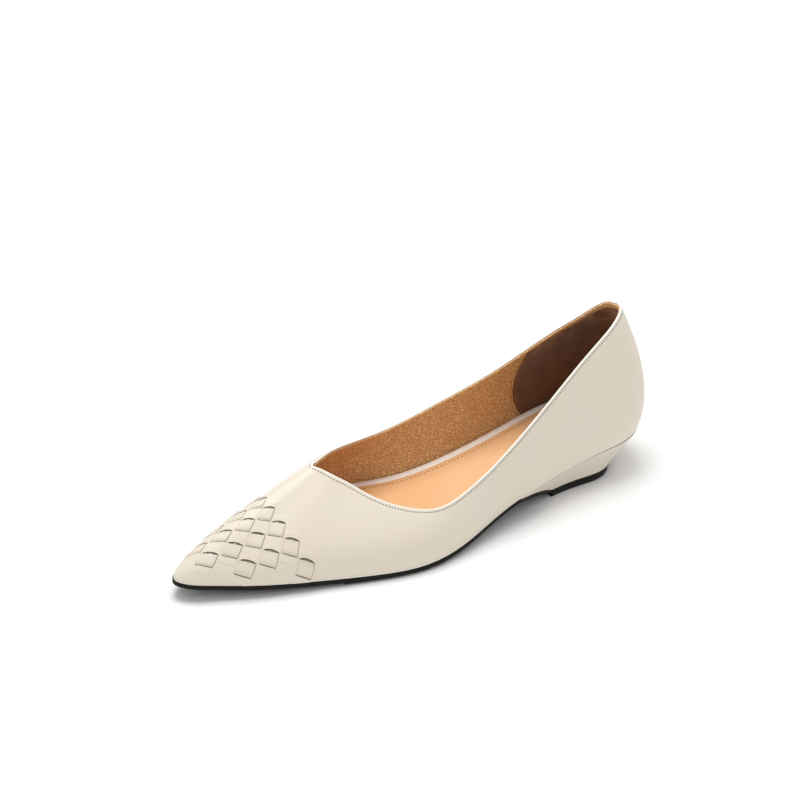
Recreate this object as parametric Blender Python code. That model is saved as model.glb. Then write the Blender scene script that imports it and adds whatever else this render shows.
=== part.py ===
"""Pointed toe flat shoe for the left foot, an empty low court shoe with a woven toe.

Frame: metres, +Z up, the toe towards -Y, the outer (lateral) side of the foot at +X.
The origin is under the middle of the shoe, on the floor.

The upper is worked out as a shoemaker draws a last. A ring of ribs stands round the
foot. Each rib is a conic from the feather line, where upper and sole meet, through a
side point that gives it its swell, to the top line. A closed cubic spline joins the
ribs, so one function gives every point of the upper, and the wall, the woven strips,
the insole, the sole and the heel all take their place from it.
"""

import math

import bmesh
import bpy
import numpy as np

# Driving sizes
LAST_LENGTH = 0.252      # tip of the toe to the back of the heel seat, on the feather line
BALL_WIDTH = 0.078       # across the feather line at the ball
BACK_HEIGHT = 0.0585     # heel seat up to the top line at the back
HEEL_RISE = 0.0190       # heel seat above the tread
TOE_SPRING = 0.0060      # tip of the toe above the tread
SOLE_THICKNESS = 0.0027  # outsole under the ball
WAIST_THICKNESS = 0.0017 # outsole in the arch, where it is skived thin
WALL = 0.0018            # upper leather and its lining together
INSOLE_THICKNESS = 0.0028
INSOLE_TOE = 0.0011      # the insole is skived to this at the toe
INSOLE_LEAN = 0.0003     # its upper edge is drawn in by this, as the wall leans in
SOCK_THICKNESS = 0.0008
SOCK_MARGIN = 0.0032     # wrapped edge of the insole left bare round the sock
WELT = 0.0006            # outsole edge stands out past the feather line
SOLE_BEVEL = 0.0013      # lower edge of the outsole is cut in by this
EDGE_BREAK = 0.4         # share of the sole's thickness that the cut takes
TOP_LIFT = 0.0040        # rubber top piece under the heel
LIFT_SLANT = 0.0006      # the top piece's sides are drawn in by this towards the floor
HEEL_TIP = 0.0006        # thin front edge of the heel wedge
GAP = 0.0003             # between two pieces that lie on each other
STRIP_RISE = 0.0005      # a woven strip stands above the leather that it crosses
STRIP_ROOT = 0.0008      # and its plate is sunk this deep into the wall

HALF_BALL = BALL_WIDTH / 2
GROUND_TO_FEATHER = SOLE_THICKNESS + GAP

# Rib table. across, bulge and top_across are shares of half the ball width, along and
# top_along of the last's length from the toe, rise and top_height of the back height.
# fullness is the conic's weight, and cut is the share of the rib below the top line.
RIB_COLUMNS = ("name", "across", "along", "bulge", "rise",
               "top_across", "top_along", "top_height", "fullness", "cut")
RIBS = (
    ("back", 0.000, 1.000, 0.235, 0.325, 0.000, 0.967, 1.010, 1.0, 1.000),
    ("outer_heel", 0.370, 0.985, 0.20, 0.325, 0.165, 0.956, 1.010, 1.0, 1.000),
    ("outer_counter", 0.600, 0.942, 0.16, 0.325, 0.300, 0.922, 0.978, 1.0, 1.000),
    ("outer_seat", 0.636, 0.860, 0.155, 0.31, 0.405, 0.855, 0.872, 1.0, 1.000),
    ("outer_shank", 0.687, 0.740, 0.115, 0.255, 0.580, 0.736, 0.650, 1.0, 1.000),
    ("outer_waist", 0.800, 0.620, 0.09, 0.19, 0.745, 0.613, 0.470, 1.0, 1.000),
    ("outer_arch", 0.974, 0.520, 0.075, 0.18, 0.835, 0.526, 0.400, 1.0, 1.000),
    ("outer_ball", 1.050, 0.420, 0.065, 0.20, 0.825, 0.454, 0.393, 1.0, 1.000),
    ("outer_tread", 0.915, 0.330, 0.065, 0.22, 0.577, 0.388, 0.475, 1.0, 1.000),
    ("outer_vamp", 0.665, 0.220, 0.065, 0.24, 0.260, 0.349, 0.600, 1.0, 0.985),
    ("outer_toe", 0.420, 0.120, 0.056, 0.23, 0.110, 0.335, 0.685, 1.0, 0.968),
    ("outer_point", 0.185, 0.050, 0.05, 0.21, 0.012, 0.328, 0.725, 0.85, 0.958),
    ("outer_tip", 0.033, 0.012, 0.05, 0.21, -0.046, 0.325, 0.745, 0.75, 0.947),
    ("toe", -0.103, 0.000, 0.05, 0.21, -0.095, 0.324, 0.750, 0.70, 0.938),
    ("inner_tip", -0.238, 0.012, 0.05, 0.205, -0.144, 0.325, 0.740, 0.70, 0.945),
    ("inner_point", -0.374, 0.050, 0.05, 0.195, -0.197, 0.328, 0.715, 0.77, 0.960),
    ("inner_toe", -0.585, 0.120, 0.056, 0.185, -0.277, 0.335, 0.680, 0.85, 0.976),
    ("inner_vamp", -0.808, 0.220, 0.065, 0.23, -0.397, 0.352, 0.635, 0.9, 0.985),
    ("inner_tread", -0.975, 0.330, 0.065, 0.28, -0.551, 0.395, 0.592, 1.0, 1.000),
    ("inner_ball", -0.950, 0.420, 0.075, 0.27, -0.682, 0.465, 0.530, 1.0, 1.000),
    ("inner_arch", -0.725, 0.520, 0.10, 0.255, -0.708, 0.535, 0.510, 1.0, 1.000),
    ("inner_waist", -0.590, 0.620, 0.13, 0.255, -0.638, 0.620, 0.548, 1.0, 1.000),
    ("inner_shank", -0.580, 0.740, 0.13, 0.275, -0.531, 0.740, 0.634, 1.0, 1.000),
    ("inner_seat", -0.635, 0.860, 0.155, 0.31, -0.433, 0.860, 0.797, 1.0, 1.000),
    ("inner_counter", -0.525, 0.940, 0.17, 0.325, -0.320, 0.922, 0.900, 1.0, 1.000),
    ("inner_heel", -0.315, 0.985, 0.21, 0.325, -0.190, 0.957, 0.985, 1.0, 1.000),
)

# Bottom of the last in side view: heel is the share of the heel rise and spring the
# share of the toe spring that each place along the last is lifted by.
BOTTOM_COLUMNS = ("along", "heel", "spring")
BOTTOM = (
    (0.00, 0.000, 1.00),
    (0.05, 0.000, 0.78),
    (0.12, 0.000, 0.54),
    (0.22, 0.000, 0.24),
    (0.33, 0.000, 0.03),
    (0.42, 0.000, 0.00),
    (0.52, 0.085, 0.00),
    (0.62, 0.316, 0.00),
    (0.74, 0.584, 0.00),
    (0.86, 0.767, 0.00),
    (0.94, 0.900, 0.00),
    (1.00, 1.000, 0.00),
)

# Places along the last
TREAD_FRONT = 0.27       # the outsole lies flat on the floor between these two
TREAD_BACK = 0.43
WAIST = 0.60             # the outsole has thinned to its waist here
HEEL_FRONT = 0.67        # thin front edge of the heel wedge
LIFT_FRONT = 0.76        # front of the top lift
LIFT_BACK = 0.935        # back of the top lift, with the heel undercut behind it
HEEL_TAPER = 0.86        # width of the heel's foot against the heel seat above it
HEEL_WAIST = 0.98        # and its width half way up, against a straight side
BREAST_CURVE = 1.6       # how hollow the front of the heel runs down to the top lift
INSOLE_FULL = 0.10       # the insole has its full thickness from here back

# Woven toe. The strips lie slantwise on the unrolled toe. A file of strips runs along the
# vamp and a rank lies across it, and file 0, rank 0 is the middle strip of the outer side.
STRIP_WIDTH = 0.88       # of the pitch across the strips
STRIP_SHOW = 0.92        # of the pitch along the strips, from slit to slit
WEAVE_MIDDLE = (0.0452, 0.0247)   # its middle: from the toe, and round from the middle line
RANK_STEP = (0.0115, 0.0025)      # from one rank to the next, towards the back
FILE_STEP = (0.0031, 0.0117)      # from one file to the next, towards the sole
RANK_TURN = (-0.00033, -0.00067)  # both steps change by twice this from strip to strip,
FILE_TURN = (0.00063, 0.00097)    # as the leather is drawn over the last
STRAIGHT_FILE = -2.5     # past here, on the inner side, the files lie evenly apart
BACK_RANK = 1            # the last rank, nearest the throat
WEAVE_FRONT = 0.0140     # the woven patch begins this far from the toe
WEAVE_EDGE = 0.0058      # half width of the patch where it begins
WEAVE_FLARE = 0.82       # and how fast it widens
WEAVE_CLEAR = 0.0012     # a strip keeps this far above the feather line
LEAST_STRIP = 0.4        # one is left out where less than this share of its half has room

# How finely the pieces are cut into flat faces
RIB_STEPS = 4            # steps of the upper between two ribs
WALL_LEVELS = 12         # levels of the upper from the feather to the top line
STRIP_CELLS = 3          # flat faces along each side of a strip's plate
SLAB_STRIPS = 4          # strips across the insole, sole and heel
CLOSENESS = 1.7          # how much closer stations stand towards a round end
RING_TIP = 0.0004        # the first and last stations stand this far inside a ring


def columns(names, rows):
    """A table's columns by name, as arrays."""
    return {name: np.array([row[k] for row in rows]) for k, name in enumerate(names)}


def closed_spline(knots, values, places):
    """Cubic spline with continuous curvature through values, round a closed ring."""
    period = knots[-1]
    step = np.diff(knots)
    count = len(step)
    matrix = np.zeros((count, count))
    change = np.zeros_like(values)
    for i in range(count):
        before, after, following = step[i - 1], step[i], (i + 1) % count
        matrix[i, i - 1] += before
        matrix[i, i] += 2 * (before + after)
        matrix[i, following] += after
        change[i] = 6 * ((values[following] - values[i]) / after
                         - (values[i] - values[i - 1]) / before)
    bend = np.linalg.solve(matrix, change)
    places = np.mod(places, period)
    i = np.clip(np.searchsorted(knots, places, side="right") - 1, 0, count - 1)
    j = (i + 1) % count
    width = step[i][:, None]
    a = (knots[i + 1] - places)[:, None] / width
    b = 1 - a
    return (a * values[i] + b * values[j]
            + ((a**3 - a) * bend[i] + (b**3 - b) * bend[j]) * width**2 / 6)


def open_spline(knots, values, places):
    """Natural cubic spline through values."""
    step = np.diff(knots)
    count = len(knots)
    matrix = np.eye(count)
    change = np.zeros(count)
    for i in range(1, count - 1):
        matrix[i, i - 1:i + 2] = step[i - 1], 2 * (step[i - 1] + step[i]), step[i]
        change[i] = 6 * ((values[i + 1] - values[i]) / step[i]
                         - (values[i] - values[i - 1]) / step[i - 1])
    bend = np.linalg.solve(matrix, change)
    i = np.clip(np.searchsorted(knots, places, side="right") - 1, 0, count - 2)
    width = step[i]
    a = (knots[i + 1] - places) / width
    b = 1 - a
    return (a * values[i] + b * values[i + 1]
            + ((a**3 - a) * bend[i] + (b**3 - b) * bend[i + 1]) * width**2 / 6)


def ease(share):
    """Smooth step from 0 to 1 with level ends."""
    share = np.clip(share, 0, 1)
    return share * share * (3 - 2 * share)


def along_to_y(along):
    """Share of the last's length from the toe to the place along Y."""
    return (np.asarray(along, float) - 0.5) * LAST_LENGTH


def y_to_along(y):
    return np.asarray(y, float) / LAST_LENGTH + 0.5


def feather_height(y):
    """Height of the bottom of the last above the floor at a place along Y."""
    lifted = GROUND_TO_FEATHER + LAST["heel"] * HEEL_RISE + LAST["spring"] * TOE_SPRING
    return open_spline(LAST["along"], lifted, y_to_along(y))


LAST = columns(BOTTOM_COLUMNS, BOTTOM)
RIB = columns(RIB_COLUMNS, RIBS)
FEATHER_KNOTS = np.stack([RIB["across"] * HALF_BALL, along_to_y(RIB["along"])], 1)
KNOTS = np.concatenate([[0], np.cumsum(np.linalg.norm(
    np.roll(FEATHER_KNOTS, -1, 0) - FEATHER_KNOTS, axis=1))])
GIRTH = KNOTS[-1]
TOE = list(RIB["name"]).index("toe")


def rib_ends(u):
    """Feather point, side point, top point, weight and outward direction at places u."""
    values = np.stack([
        FEATHER_KNOTS[:, 0], FEATHER_KNOTS[:, 1],
        RIB["bulge"] * HALF_BALL, RIB["rise"] * BACK_HEIGHT,
        RIB["top_across"] * HALF_BALL, along_to_y(RIB["top_along"]),
        RIB["top_height"] * BACK_HEIGHT, RIB["fullness"]], 1)
    x, y, bulge, rise, top_x, top_y, top_height, weight = closed_spline(KNOTS, values, u).T
    small = 1e-5
    run = (closed_spline(KNOTS, FEATHER_KNOTS, u + small)
           - closed_spline(KNOTS, FEATHER_KNOTS, u - small))
    outward = np.stack([-run[:, 1], run[:, 0]], 1)
    outward /= np.linalg.norm(outward, axis=1)[:, None]
    feather = np.stack([x, y, feather_height(y)], 1)
    side = feather + np.column_stack([outward * bulge[:, None], rise])
    top = np.stack([top_x, top_y, top_height + feather_height(top_y)], 1)
    return feather, side, top, weight, outward


def top_line(u):
    """Share of each rib that is kept, with a corner at the toe rib, the throat's point."""
    places = np.concatenate([KNOTS[TOE:-1] - GIRTH, KNOTS[:TOE + 1]])
    kept = np.concatenate([RIB["cut"][TOE:], RIB["cut"][:TOE + 1]])
    u = np.mod(u, GIRTH)
    return open_spline(places, kept, np.where(u > KNOTS[TOE], u - GIRTH, u))


def along_ribs(u, shares):
    """Points at the given shares of each rib, as an array ribs x shares x 3."""
    feather, side, top, weight, _ = rib_ends(u)
    a = (1 - shares) ** 2
    b = 2 * shares * (1 - shares) * weight[:, None]
    c = shares ** 2
    total = (a + b + c)[..., None]
    return (a[..., None] * feather[:, None] + b[..., None] * side[:, None]
            + c[..., None] * top[:, None]) / total


def upper_surface(u, v):
    """Outer face of the upper: u round the foot, v from 0 at the feather to 1 at the top."""
    return along_ribs(u, np.clip(v, 0, None)[None, :] * top_line(u)[:, None])


def upper_normals(u, v):
    """Outward unit normals of the outer face, from central differences."""
    small_u, small_v = 2e-5, 1e-3
    across = upper_surface(u + small_u, v) - upper_surface(u - small_u, v)
    low, high = np.clip(v - small_v, 0, None), v + small_v
    up = upper_surface(u, high) - upper_surface(u, low)
    normal = np.cross(up, across)
    return normal / np.linalg.norm(normal, axis=2)[..., None]


def steps_between_knots():
    """Places round the foot: the same number of steps between each rib and the next."""
    share = np.arange(RIB_STEPS) / RIB_STEPS
    return (KNOTS[:-1, None] + np.diff(KNOTS)[:, None] * share).ravel()


def new_object(name, vertices, faces, material):
    mesh = bpy.data.meshes.new(name)
    mesh.from_pydata([tuple(map(float, vertex)) for vertex in vertices], [], faces)
    made = bmesh.new()
    made.from_mesh(mesh)
    bmesh.ops.recalc_face_normals(made, faces=made.faces)
    if made.calc_volume(signed=True) < 0:
        bmesh.ops.reverse_faces(made, faces=made.faces)
    made.to_mesh(mesh)
    made.free()
    mesh.materials.append(material)
    mesh.shade_smooth()
    mesh.set_sharp_from_angle(angle=math.radians(35))
    result = bpy.data.objects.new(name, mesh)
    bpy.context.scene.collection.objects.link(result)
    return result


def new_material(name, colour, roughness):
    material = bpy.data.materials.new(name)
    material.use_nodes = True
    shader = material.node_tree.nodes["Principled BSDF"]
    shader.inputs["Base Color"].default_value = (*colour, 1)
    shader.inputs["Roughness"].default_value = roughness
    shader.inputs["Metallic"].default_value = 0.0
    return material


def ring_faces(count, levels, first=0):
    """Quads between the levels of a closed ring whose points are numbered level by level."""
    faces = []
    for level in range(levels - 1):
        low, high = first + level * count, first + (level + 1) * count
        for i in range(count):
            j = (i + 1) % count
            faces.append((low + i, low + j, high + j, high + i))
    return faces


def make_upper(material):
    """Hollow wall: outer face, top edge, inner face and the lower rim at the feather."""
    u = steps_between_knots()
    v = np.linspace(0, 1, WALL_LEVELS)
    outer = upper_surface(u, v)
    inner = outer - WALL * upper_normals(u, v)
    levels = [outer[:, k] for k in range(len(v))]
    levels += [inner[:, k] for k in reversed(range(len(v)))]
    count = len(u)
    faces = ring_faces(count, len(levels))
    last = (len(levels) - 1) * count
    faces += [(last + i, last + (i + 1) % count, (i + 1) % count, i) for i in range(count)]
    return new_object("upper", np.concatenate(levels), faces, material)


def vamp_chart():
    """Unrolled map of the toe: points at a distance s from the toe along the middle line
    and q round the section from it, positive to the outer side, as s, q, points and the
    two ends of q for each s. A section is read where level lines round the toe cross it."""
    away = np.linspace(0, 0.100, 101)
    v = np.linspace(0, 1, 161)
    inner, outer = (upper_surface(KNOTS[TOE] + side * away, v) for side in (1, -1))
    middle = inner[0]
    run = np.concatenate([[0], np.cumsum(np.linalg.norm(np.diff(middle, axis=0), axis=1))])
    s = np.linspace(0.010, 0.072, 63)
    q = np.linspace(-0.050, 0.050, 101)
    points = np.zeros((len(s), len(q), 3))
    ends = np.zeros((len(s), 2))
    for i, y in enumerate(np.interp(s, run, middle[:, 1])):
        crossed = [k for k in range(len(v)) if middle[k, 1] < y]
        halves = [[[np.interp(y, side[:, k, 1], side[:, k, axis]) for axis in range(3)]
                   for k in crossed] for side in (inner, outer)]
        top = [np.interp(y, middle[:, 1], middle[:, axis]) for axis in range(3)]
        section = np.array(halves[0] + [top] + halves[1][::-1])
        length = np.concatenate([[0], np.cumsum(np.linalg.norm(
            np.diff(section, axis=0), axis=1))])
        length -= length[len(crossed)]
        ends[i] = length[0], length[-1]
        for axis in range(3):
            points[i, :, axis] = np.interp(q, length, section[:, axis])
    return s, q, points, ends


def chart_points(chart, s, q):
    """Points of the vamp at distances s and q, read between the chart's lines."""
    s_lines, q_lines, points, _ = chart
    i = np.clip(np.searchsorted(s_lines, s) - 1, 0, len(s_lines) - 2)
    j = np.clip(np.searchsorted(q_lines, q) - 1, 0, len(q_lines) - 2)
    a = ((s - s_lines[i]) / (s_lines[i + 1] - s_lines[i]))[..., None]
    b = ((q - q_lines[j]) / (q_lines[j + 1] - q_lines[j]))[..., None]
    return ((1 - a) * (1 - b) * points[i, j] + a * (1 - b) * points[i + 1, j]
            + (1 - a) * b * points[i, j + 1] + a * b * points[i + 1, j + 1])


def weave_place(file, rank):
    """Distances s and q of places in the weave. Each is a square law of file and rank, and
    on the inner side it runs on in a straight line."""
    bent = np.maximum(file, STRAIGHT_FILE)
    return [WEAVE_MIDDLE[k] + RANK_STEP[k] * rank + RANK_TURN[k] * rank**2
            + FILE_STEP[k] * file + FILE_TURN[k] * bent * (2 * file - bent)
            for k in range(2)]


def strip_places():
    """File and rank of each place where a strip shows: those with their middle in the
    woven patch, which widens from the toe like a fan."""
    places = []
    for file in range(-12, 6):
        for rank in range(-6, BACK_RANK + 1):
            s, q = weave_place(file, rank)
            if s > WEAVE_FRONT and abs(q) < WEAVE_EDGE + WEAVE_FLARE * (s - WEAVE_FRONT):
                places.append((file, rank))
    return places


def drawn_in_plate(q, inner_end, outer_end):
    """The distances q of a plate, with the half of it that would come too near the feather
    line drawn in towards its middle, and the least share that either half keeps."""
    middle = q.mean()
    over = q - middle
    room = [(inner_end + WEAVE_CLEAR - middle)[over < 0] / over[over < 0],
            (outer_end - WEAVE_CLEAR - middle)[over > 0] / over[over > 0]]
    inner, outer = (min(1.0, share.min()) for share in room)
    return middle + over * np.where(over < 0, inner, outer), min(inner, outer)


def make_strips(material):
    """One low plate for each place where a woven strip passes over the leather. From one
    strip to the next across is half a file and half a rank up, and along it half a file up
    and half a rank down."""
    chart = vamp_chart()
    cells = STRIP_CELLS
    side = cells + 1
    vertices, faces = [], []
    share = np.linspace(-0.5, 0.5, side)
    across = STRIP_WIDTH * share[:, None] + np.zeros(side)
    along = STRIP_SHOW * share[None, :] + np.zeros((side, 1))
    for file, rank in strip_places():
        s, q = weave_place(file + (across + along) / 2, rank + (across - along) / 2)
        q, room = drawn_in_plate(q, *(np.interp(s, chart[0], ends) for ends in chart[3].T))
        if room < LEAST_STRIP:
            continue
        points = chart_points(chart, s, q)
        small = 0.0005
        run = chart_points(chart, s + small, q) - chart_points(chart, s - small, q)
        around = chart_points(chart, s, q + small) - chart_points(chart, s, q - small)
        normal = np.cross(around, run)
        normal /= np.linalg.norm(normal, axis=2)[..., None]
        first = len(vertices)
        size = side * side
        vertices += list((points + STRIP_RISE * normal).reshape(-1, 3))
        vertices += list((points - STRIP_ROOT * normal).reshape(-1, 3))
        for i in range(cells):
            for j in range(cells):
                top = first + i * side + j
                quad = (top, top + 1, top + side + 1, top + side)
                faces.append(quad)
                faces.append(tuple(k + size for k in reversed(quad)))
        rim = ([(i, 0) for i in range(cells)] + [(cells, j) for j in range(cells)]
               + [(i, cells) for i in range(cells, 0, -1)]
               + [(0, j) for j in range(cells, 0, -1)])
        for here, there in zip(rim, rim[1:] + rim[:1]):
            a_top, b_top = first + here[0] * side + here[1], first + there[0] * side + there[1]
            faces.append((a_top, b_top, b_top + size, a_top + size))
    return new_object("strip_tool", vertices, faces, material)


def weave_into(upper, strips):
    """Fuse the strips to the wall, as raised steps in its outer face."""
    union = upper.modifiers.new("woven strips", "BOOLEAN")
    union.operation = "UNION"
    union.solver = "EXACT"
    union.object = strips
    strips.hide_render = True
    strips.display_type = "WIRE"


def outline(inset, places=1600):
    """The feather line, moved inwards by inset, as a closed ring of points in plan."""
    u = np.linspace(0, GIRTH, places, endpoint=False)
    feather, _, _, _, outward = rib_ends(u)
    return feather[:, :2] - inset * outward


def rails(ring, y):
    """Outer and inner side of a closed ring at places along Y."""
    front, back = ring[:, 1].argmin(), ring[:, 1].argmax()
    ring = np.roll(ring, -back, axis=0)
    front = (front - back) % len(ring)
    outer_side = ring[:front + 1][::-1]
    inner_side = np.concatenate([ring[front:], ring[:1]])
    return (np.interp(y, outer_side[:, 1], outer_side[:, 0]),
            np.interp(y, inner_side[:, 1], inner_side[:, 0]))


def stations(ring, count, begin=None, end=None, extra=()):
    """Places along Y, closer together towards a round end of the ring. They run from the
    ring's front to its back, or from begin, or to end."""
    low, high = ring[:, 1].min() + RING_TIP, ring[:, 1].max() - RING_TIP
    share = np.linspace(0, 1, count)
    if begin is None and end is None:
        share = (share + 2 * ease(share)) / 3
    elif begin is None:
        share = share ** CLOSENESS
    else:
        share = 1 - (1 - share) ** CLOSENESS
    low = low if begin is None else begin
    high = high if end is None else end
    return np.unique(np.concatenate([low + share * (high - low), extra]))


def drawn_in(ring, y, back=True):
    """The places y, moved evenly so that the first lies just inside the ring's front and,
    if back is true, the last just inside its back."""
    low = ring[:, 1].min() + RING_TIP
    high = ring[:, 1].max() - RING_TIP if back else y[-1]
    return low + (y - y[0]) * (high - low) / (y[-1] - y[0])


def slab(name, levels, material):
    """Closed solid between levels. Each level is an outer and an inner rail, arrays of
    points from front to back. The lowest and highest are filled with a grid that is
    straight from rail to rail, and the levels between only shape the edge."""
    count, across = len(levels[0][0]), SLAB_STRIPS
    share = np.linspace(0, 1, across + 1)[None, :, None]
    grids = [outer[:, None] * (1 - share) + inner[:, None] * share
             for outer, inner in levels]
    size = count * (across + 1)
    vertices = np.concatenate([grid.reshape(-1, 3) for grid in grids])
    faces = []
    top = (len(levels) - 1) * size
    for i in range(count - 1):
        for j in range(across):
            k = i * (across + 1) + j
            quad = (k, k + 1, k + across + 2, k + across + 1)
            faces.append(tuple(reversed(quad)))
            faces.append(tuple(top + index for index in quad))
    edge = [i * (across + 1) for i in range(count)]
    edge += [(count - 1) * (across + 1) + j for j in range(1, across + 1)]
    edge += [i * (across + 1) + across for i in range(count - 2, -1, -1)]
    edge += [j for j in range(across - 1, 0, -1)]
    for level in range(len(levels) - 1):
        low, high = level * size, (level + 1) * size
        for here, there in zip(edge, edge[1:] + edge[:1]):
            faces.append((low + here, low + there, high + there, high + here))
    used = sorted({index for face in faces for index in face})
    number = {index: k for k, index in enumerate(used)}
    faces = [tuple(number[index] for index in face) for face in faces]
    return new_object(name, vertices[used], faces, material)


def level_of(ring, y, height):
    """Outer and inner rail of a ring at places y and the given heights."""
    outer, inner = rails(ring, y)
    height = height + np.zeros_like(y)
    return np.stack([outer, y, height], 1), np.stack([inner, y, height], 1)


def insole_top(y):
    """Upper face of the insole, which is skived thin towards the toe."""
    share = ease(y_to_along(y) / INSOLE_FULL)
    return feather_height(y) + INSOLE_TOE + (INSOLE_THICKNESS - INSOLE_TOE) * share


def make_insole(material):
    ring, top_ring = outline(WALL + GAP), outline(WALL + GAP + INSOLE_LEAN)
    y = stations(ring, 40)
    top_y = drawn_in(top_ring, y)
    return slab("insole", [level_of(ring, y, feather_height(y)),
                           level_of(top_ring, top_y, insole_top(top_y))], material)


def make_sock(material):
    ring = outline(WALL + GAP + SOCK_MARGIN)
    y = stations(ring, 40)
    low = insole_top(y) + GAP
    return slab("sock_lining", [level_of(ring, y, low),
                                level_of(ring, y, low + SOCK_THICKNESS)], material)


def heel_foot(y_seat):
    """Where the heel's underside lies for a place on the heel seat: y, and its taper."""
    front, seat_back, foot_back = along_to_y([HEEL_FRONT, 1.0, LIFT_BACK])
    share = (y_seat - front) / (seat_back - front)
    y = front + share * (foot_back - front)
    taper = 1 + (HEEL_TAPER - 1) * ease((y - front) / (along_to_y(LIFT_FRONT) - front))
    return y, taper


def breast_height(y):
    """Underside of the heel wedge: from its thin front edge down to the top lift."""
    front, lift = along_to_y(HEEL_FRONT), along_to_y(LIFT_FRONT)
    high = feather_height(front) - GAP - HEEL_TIP
    low = TOP_LIFT + GAP
    share = np.clip((y - front) / (lift - front), 0, 1)
    return low + (high - low) * (1 - share ** BREAST_CURVE)


def heel_rails(y_seat, height=None):
    """Rails of the heel's underside under the places y_seat of the heel seat."""
    outer, inner = rails(outline(0), y_seat)
    y, taper = heel_foot(y_seat)
    middle = (outer + inner) / 2
    height = breast_height(y) if height is None else height + np.zeros_like(y)
    return (np.stack([middle + (outer - middle) * taper, y, height], 1),
            np.stack([middle + (inner - middle) * taper, y, height], 1))


def seat_of_foot(y_foot):
    """The place on the heel seat that lies over a place of the heel's underside."""
    front, seat_back, foot_back = along_to_y([HEEL_FRONT, 1.0, LIFT_BACK])
    return front + (y_foot - front) * (seat_back - front) / (foot_back - front)


def make_heel(material):
    """Covered wedge: the heel seat above, the floor side below, undercut at the back."""
    ring = outline(0)
    lift_edge = seat_of_foot(along_to_y(LIFT_FRONT))
    y = stations(ring, 26, begin=float(along_to_y(HEEL_FRONT)), extra=[float(lift_edge)])
    seat = level_of(ring, y, feather_height(y) - GAP)
    foot = heel_rails(y)
    waisted = []
    for side in range(2):
        between = (seat[side] + foot[side]) / 2
        middle = (seat[0] + seat[1] + foot[0] + foot[1]) / 4
        between[:, 0] = middle[:, 0] + (between[:, 0] - middle[:, 0]) * HEEL_WAIST
        waisted.append(between)
    return slab("heel", [foot, waisted, seat], material)


def make_top_lift(material):
    ring = outline(0)
    begin = float(seat_of_foot(along_to_y(LIFT_FRONT) + GAP))
    y = stations(ring, 22, begin=begin)
    top = heel_rails(y, TOP_LIFT)
    floor = heel_rails(y, 0.0)
    half = (floor[0][:, 0] - floor[1][:, 0]) / 2
    drawn = np.minimum(LIFT_SLANT, half / 2)
    floor[0][:, 0] -= drawn
    floor[1][:, 0] += drawn
    back = LIFT_SLANT * (y - y[0]) / (y[-1] - y[0])
    floor[0][:, 1] -= back
    floor[1][:, 1] -= back
    return slab("top_lift", [floor, top], material)


def sole_thickness(y):
    """Full under the ball and toe, skived thin in the waist."""
    share = ease((y_to_along(y) - TREAD_BACK) / (WAIST - TREAD_BACK))
    return SOLE_THICKNESS + (WAIST_THICKNESS - SOLE_THICKNESS) * share


def make_outsole(material):
    """Rubber sole from the toe to the top lift. It is flat on the floor under the ball,
    springs up at the toe, thins in the waist and runs down the front of the heel."""
    ring = outline(-WELT)
    tip, lift = along_to_y([HEEL_FRONT, LIFT_FRONT])
    tread = along_to_y([TREAD_FRONT, TREAD_BACK])
    y = stations(ring, 34, end=float(tip) - 2 * GAP, extra=tread)
    under_heel = seat_of_foot(np.linspace(tip - GAP, lift - GAP, 9))
    heel_top = heel_rails(under_heel)
    top_height = feather_height(y) - GAP
    below = np.maximum(top_height - sole_thickness(y), 0)
    below[(y >= tread[0]) & (y <= tread[1])] = 0
    low_ring = outline(SOLE_BEVEL)
    levels = []
    for share, edge, places in ((0, low_ring, drawn_in(low_ring, y, back=False)),
                                (EDGE_BREAK, ring, y), (1, ring, y)):
        level = level_of(edge, places, below + share * (top_height - below))
        tail = [rail - (0, 0, GAP + (1 - share) * (WAIST_THICKNESS - GAP))
                for rail in heel_top]
        levels.append([np.concatenate([level[side], tail[side]]) for side in range(2)])
    return slab("outsole", levels, material)


def middle_of(pieces):
    """Middle of the box round all the pieces, in X and Y."""
    points = np.array([vertex.co for piece in pieces for vertex in piece.data.vertices])
    return (points.min(0) + points.max(0))[:2] / 2


def build():
    for old in list(bpy.data.objects):
        bpy.data.objects.remove(old)
    cream = new_material("cream leather", (0.79, 0.71, 0.60), 0.38)
    covered = new_material("cream heel leather", (0.62, 0.56, 0.46), 0.42)
    wrapped = new_material("wrapped insole edge", (0.84, 0.76, 0.63), 0.45)
    tan = new_material("tan sock", (0.89, 0.55, 0.27), 0.55)
    black = new_material("black sole rubber", (0.012, 0.011, 0.010), 0.45)
    upper = make_upper(cream)
    strips = make_strips(cream)
    weave_into(upper, strips)
    pieces = [upper, make_insole(wrapped), make_sock(tan), make_outsole(black),
              make_heel(covered), make_top_lift(black)]
    middle_x, middle_y = middle_of(pieces)
    for piece in pieces + [strips]:
        piece.location = (-middle_x, -middle_y, 0)


build()
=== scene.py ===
"""Looks of the pointed toe flat shoe, built round its solids.

Every piece is worked out from the same last as the solids: a ring of ribs round the foot,
each a conic from the feather line, where upper and sole meet, to the top line. Metres,
+Z up, the toe towards -Y, the outer side of this left shoe at +X.
"""
import math

import bpy
import numpy as np
from mathutils import Matrix


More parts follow.
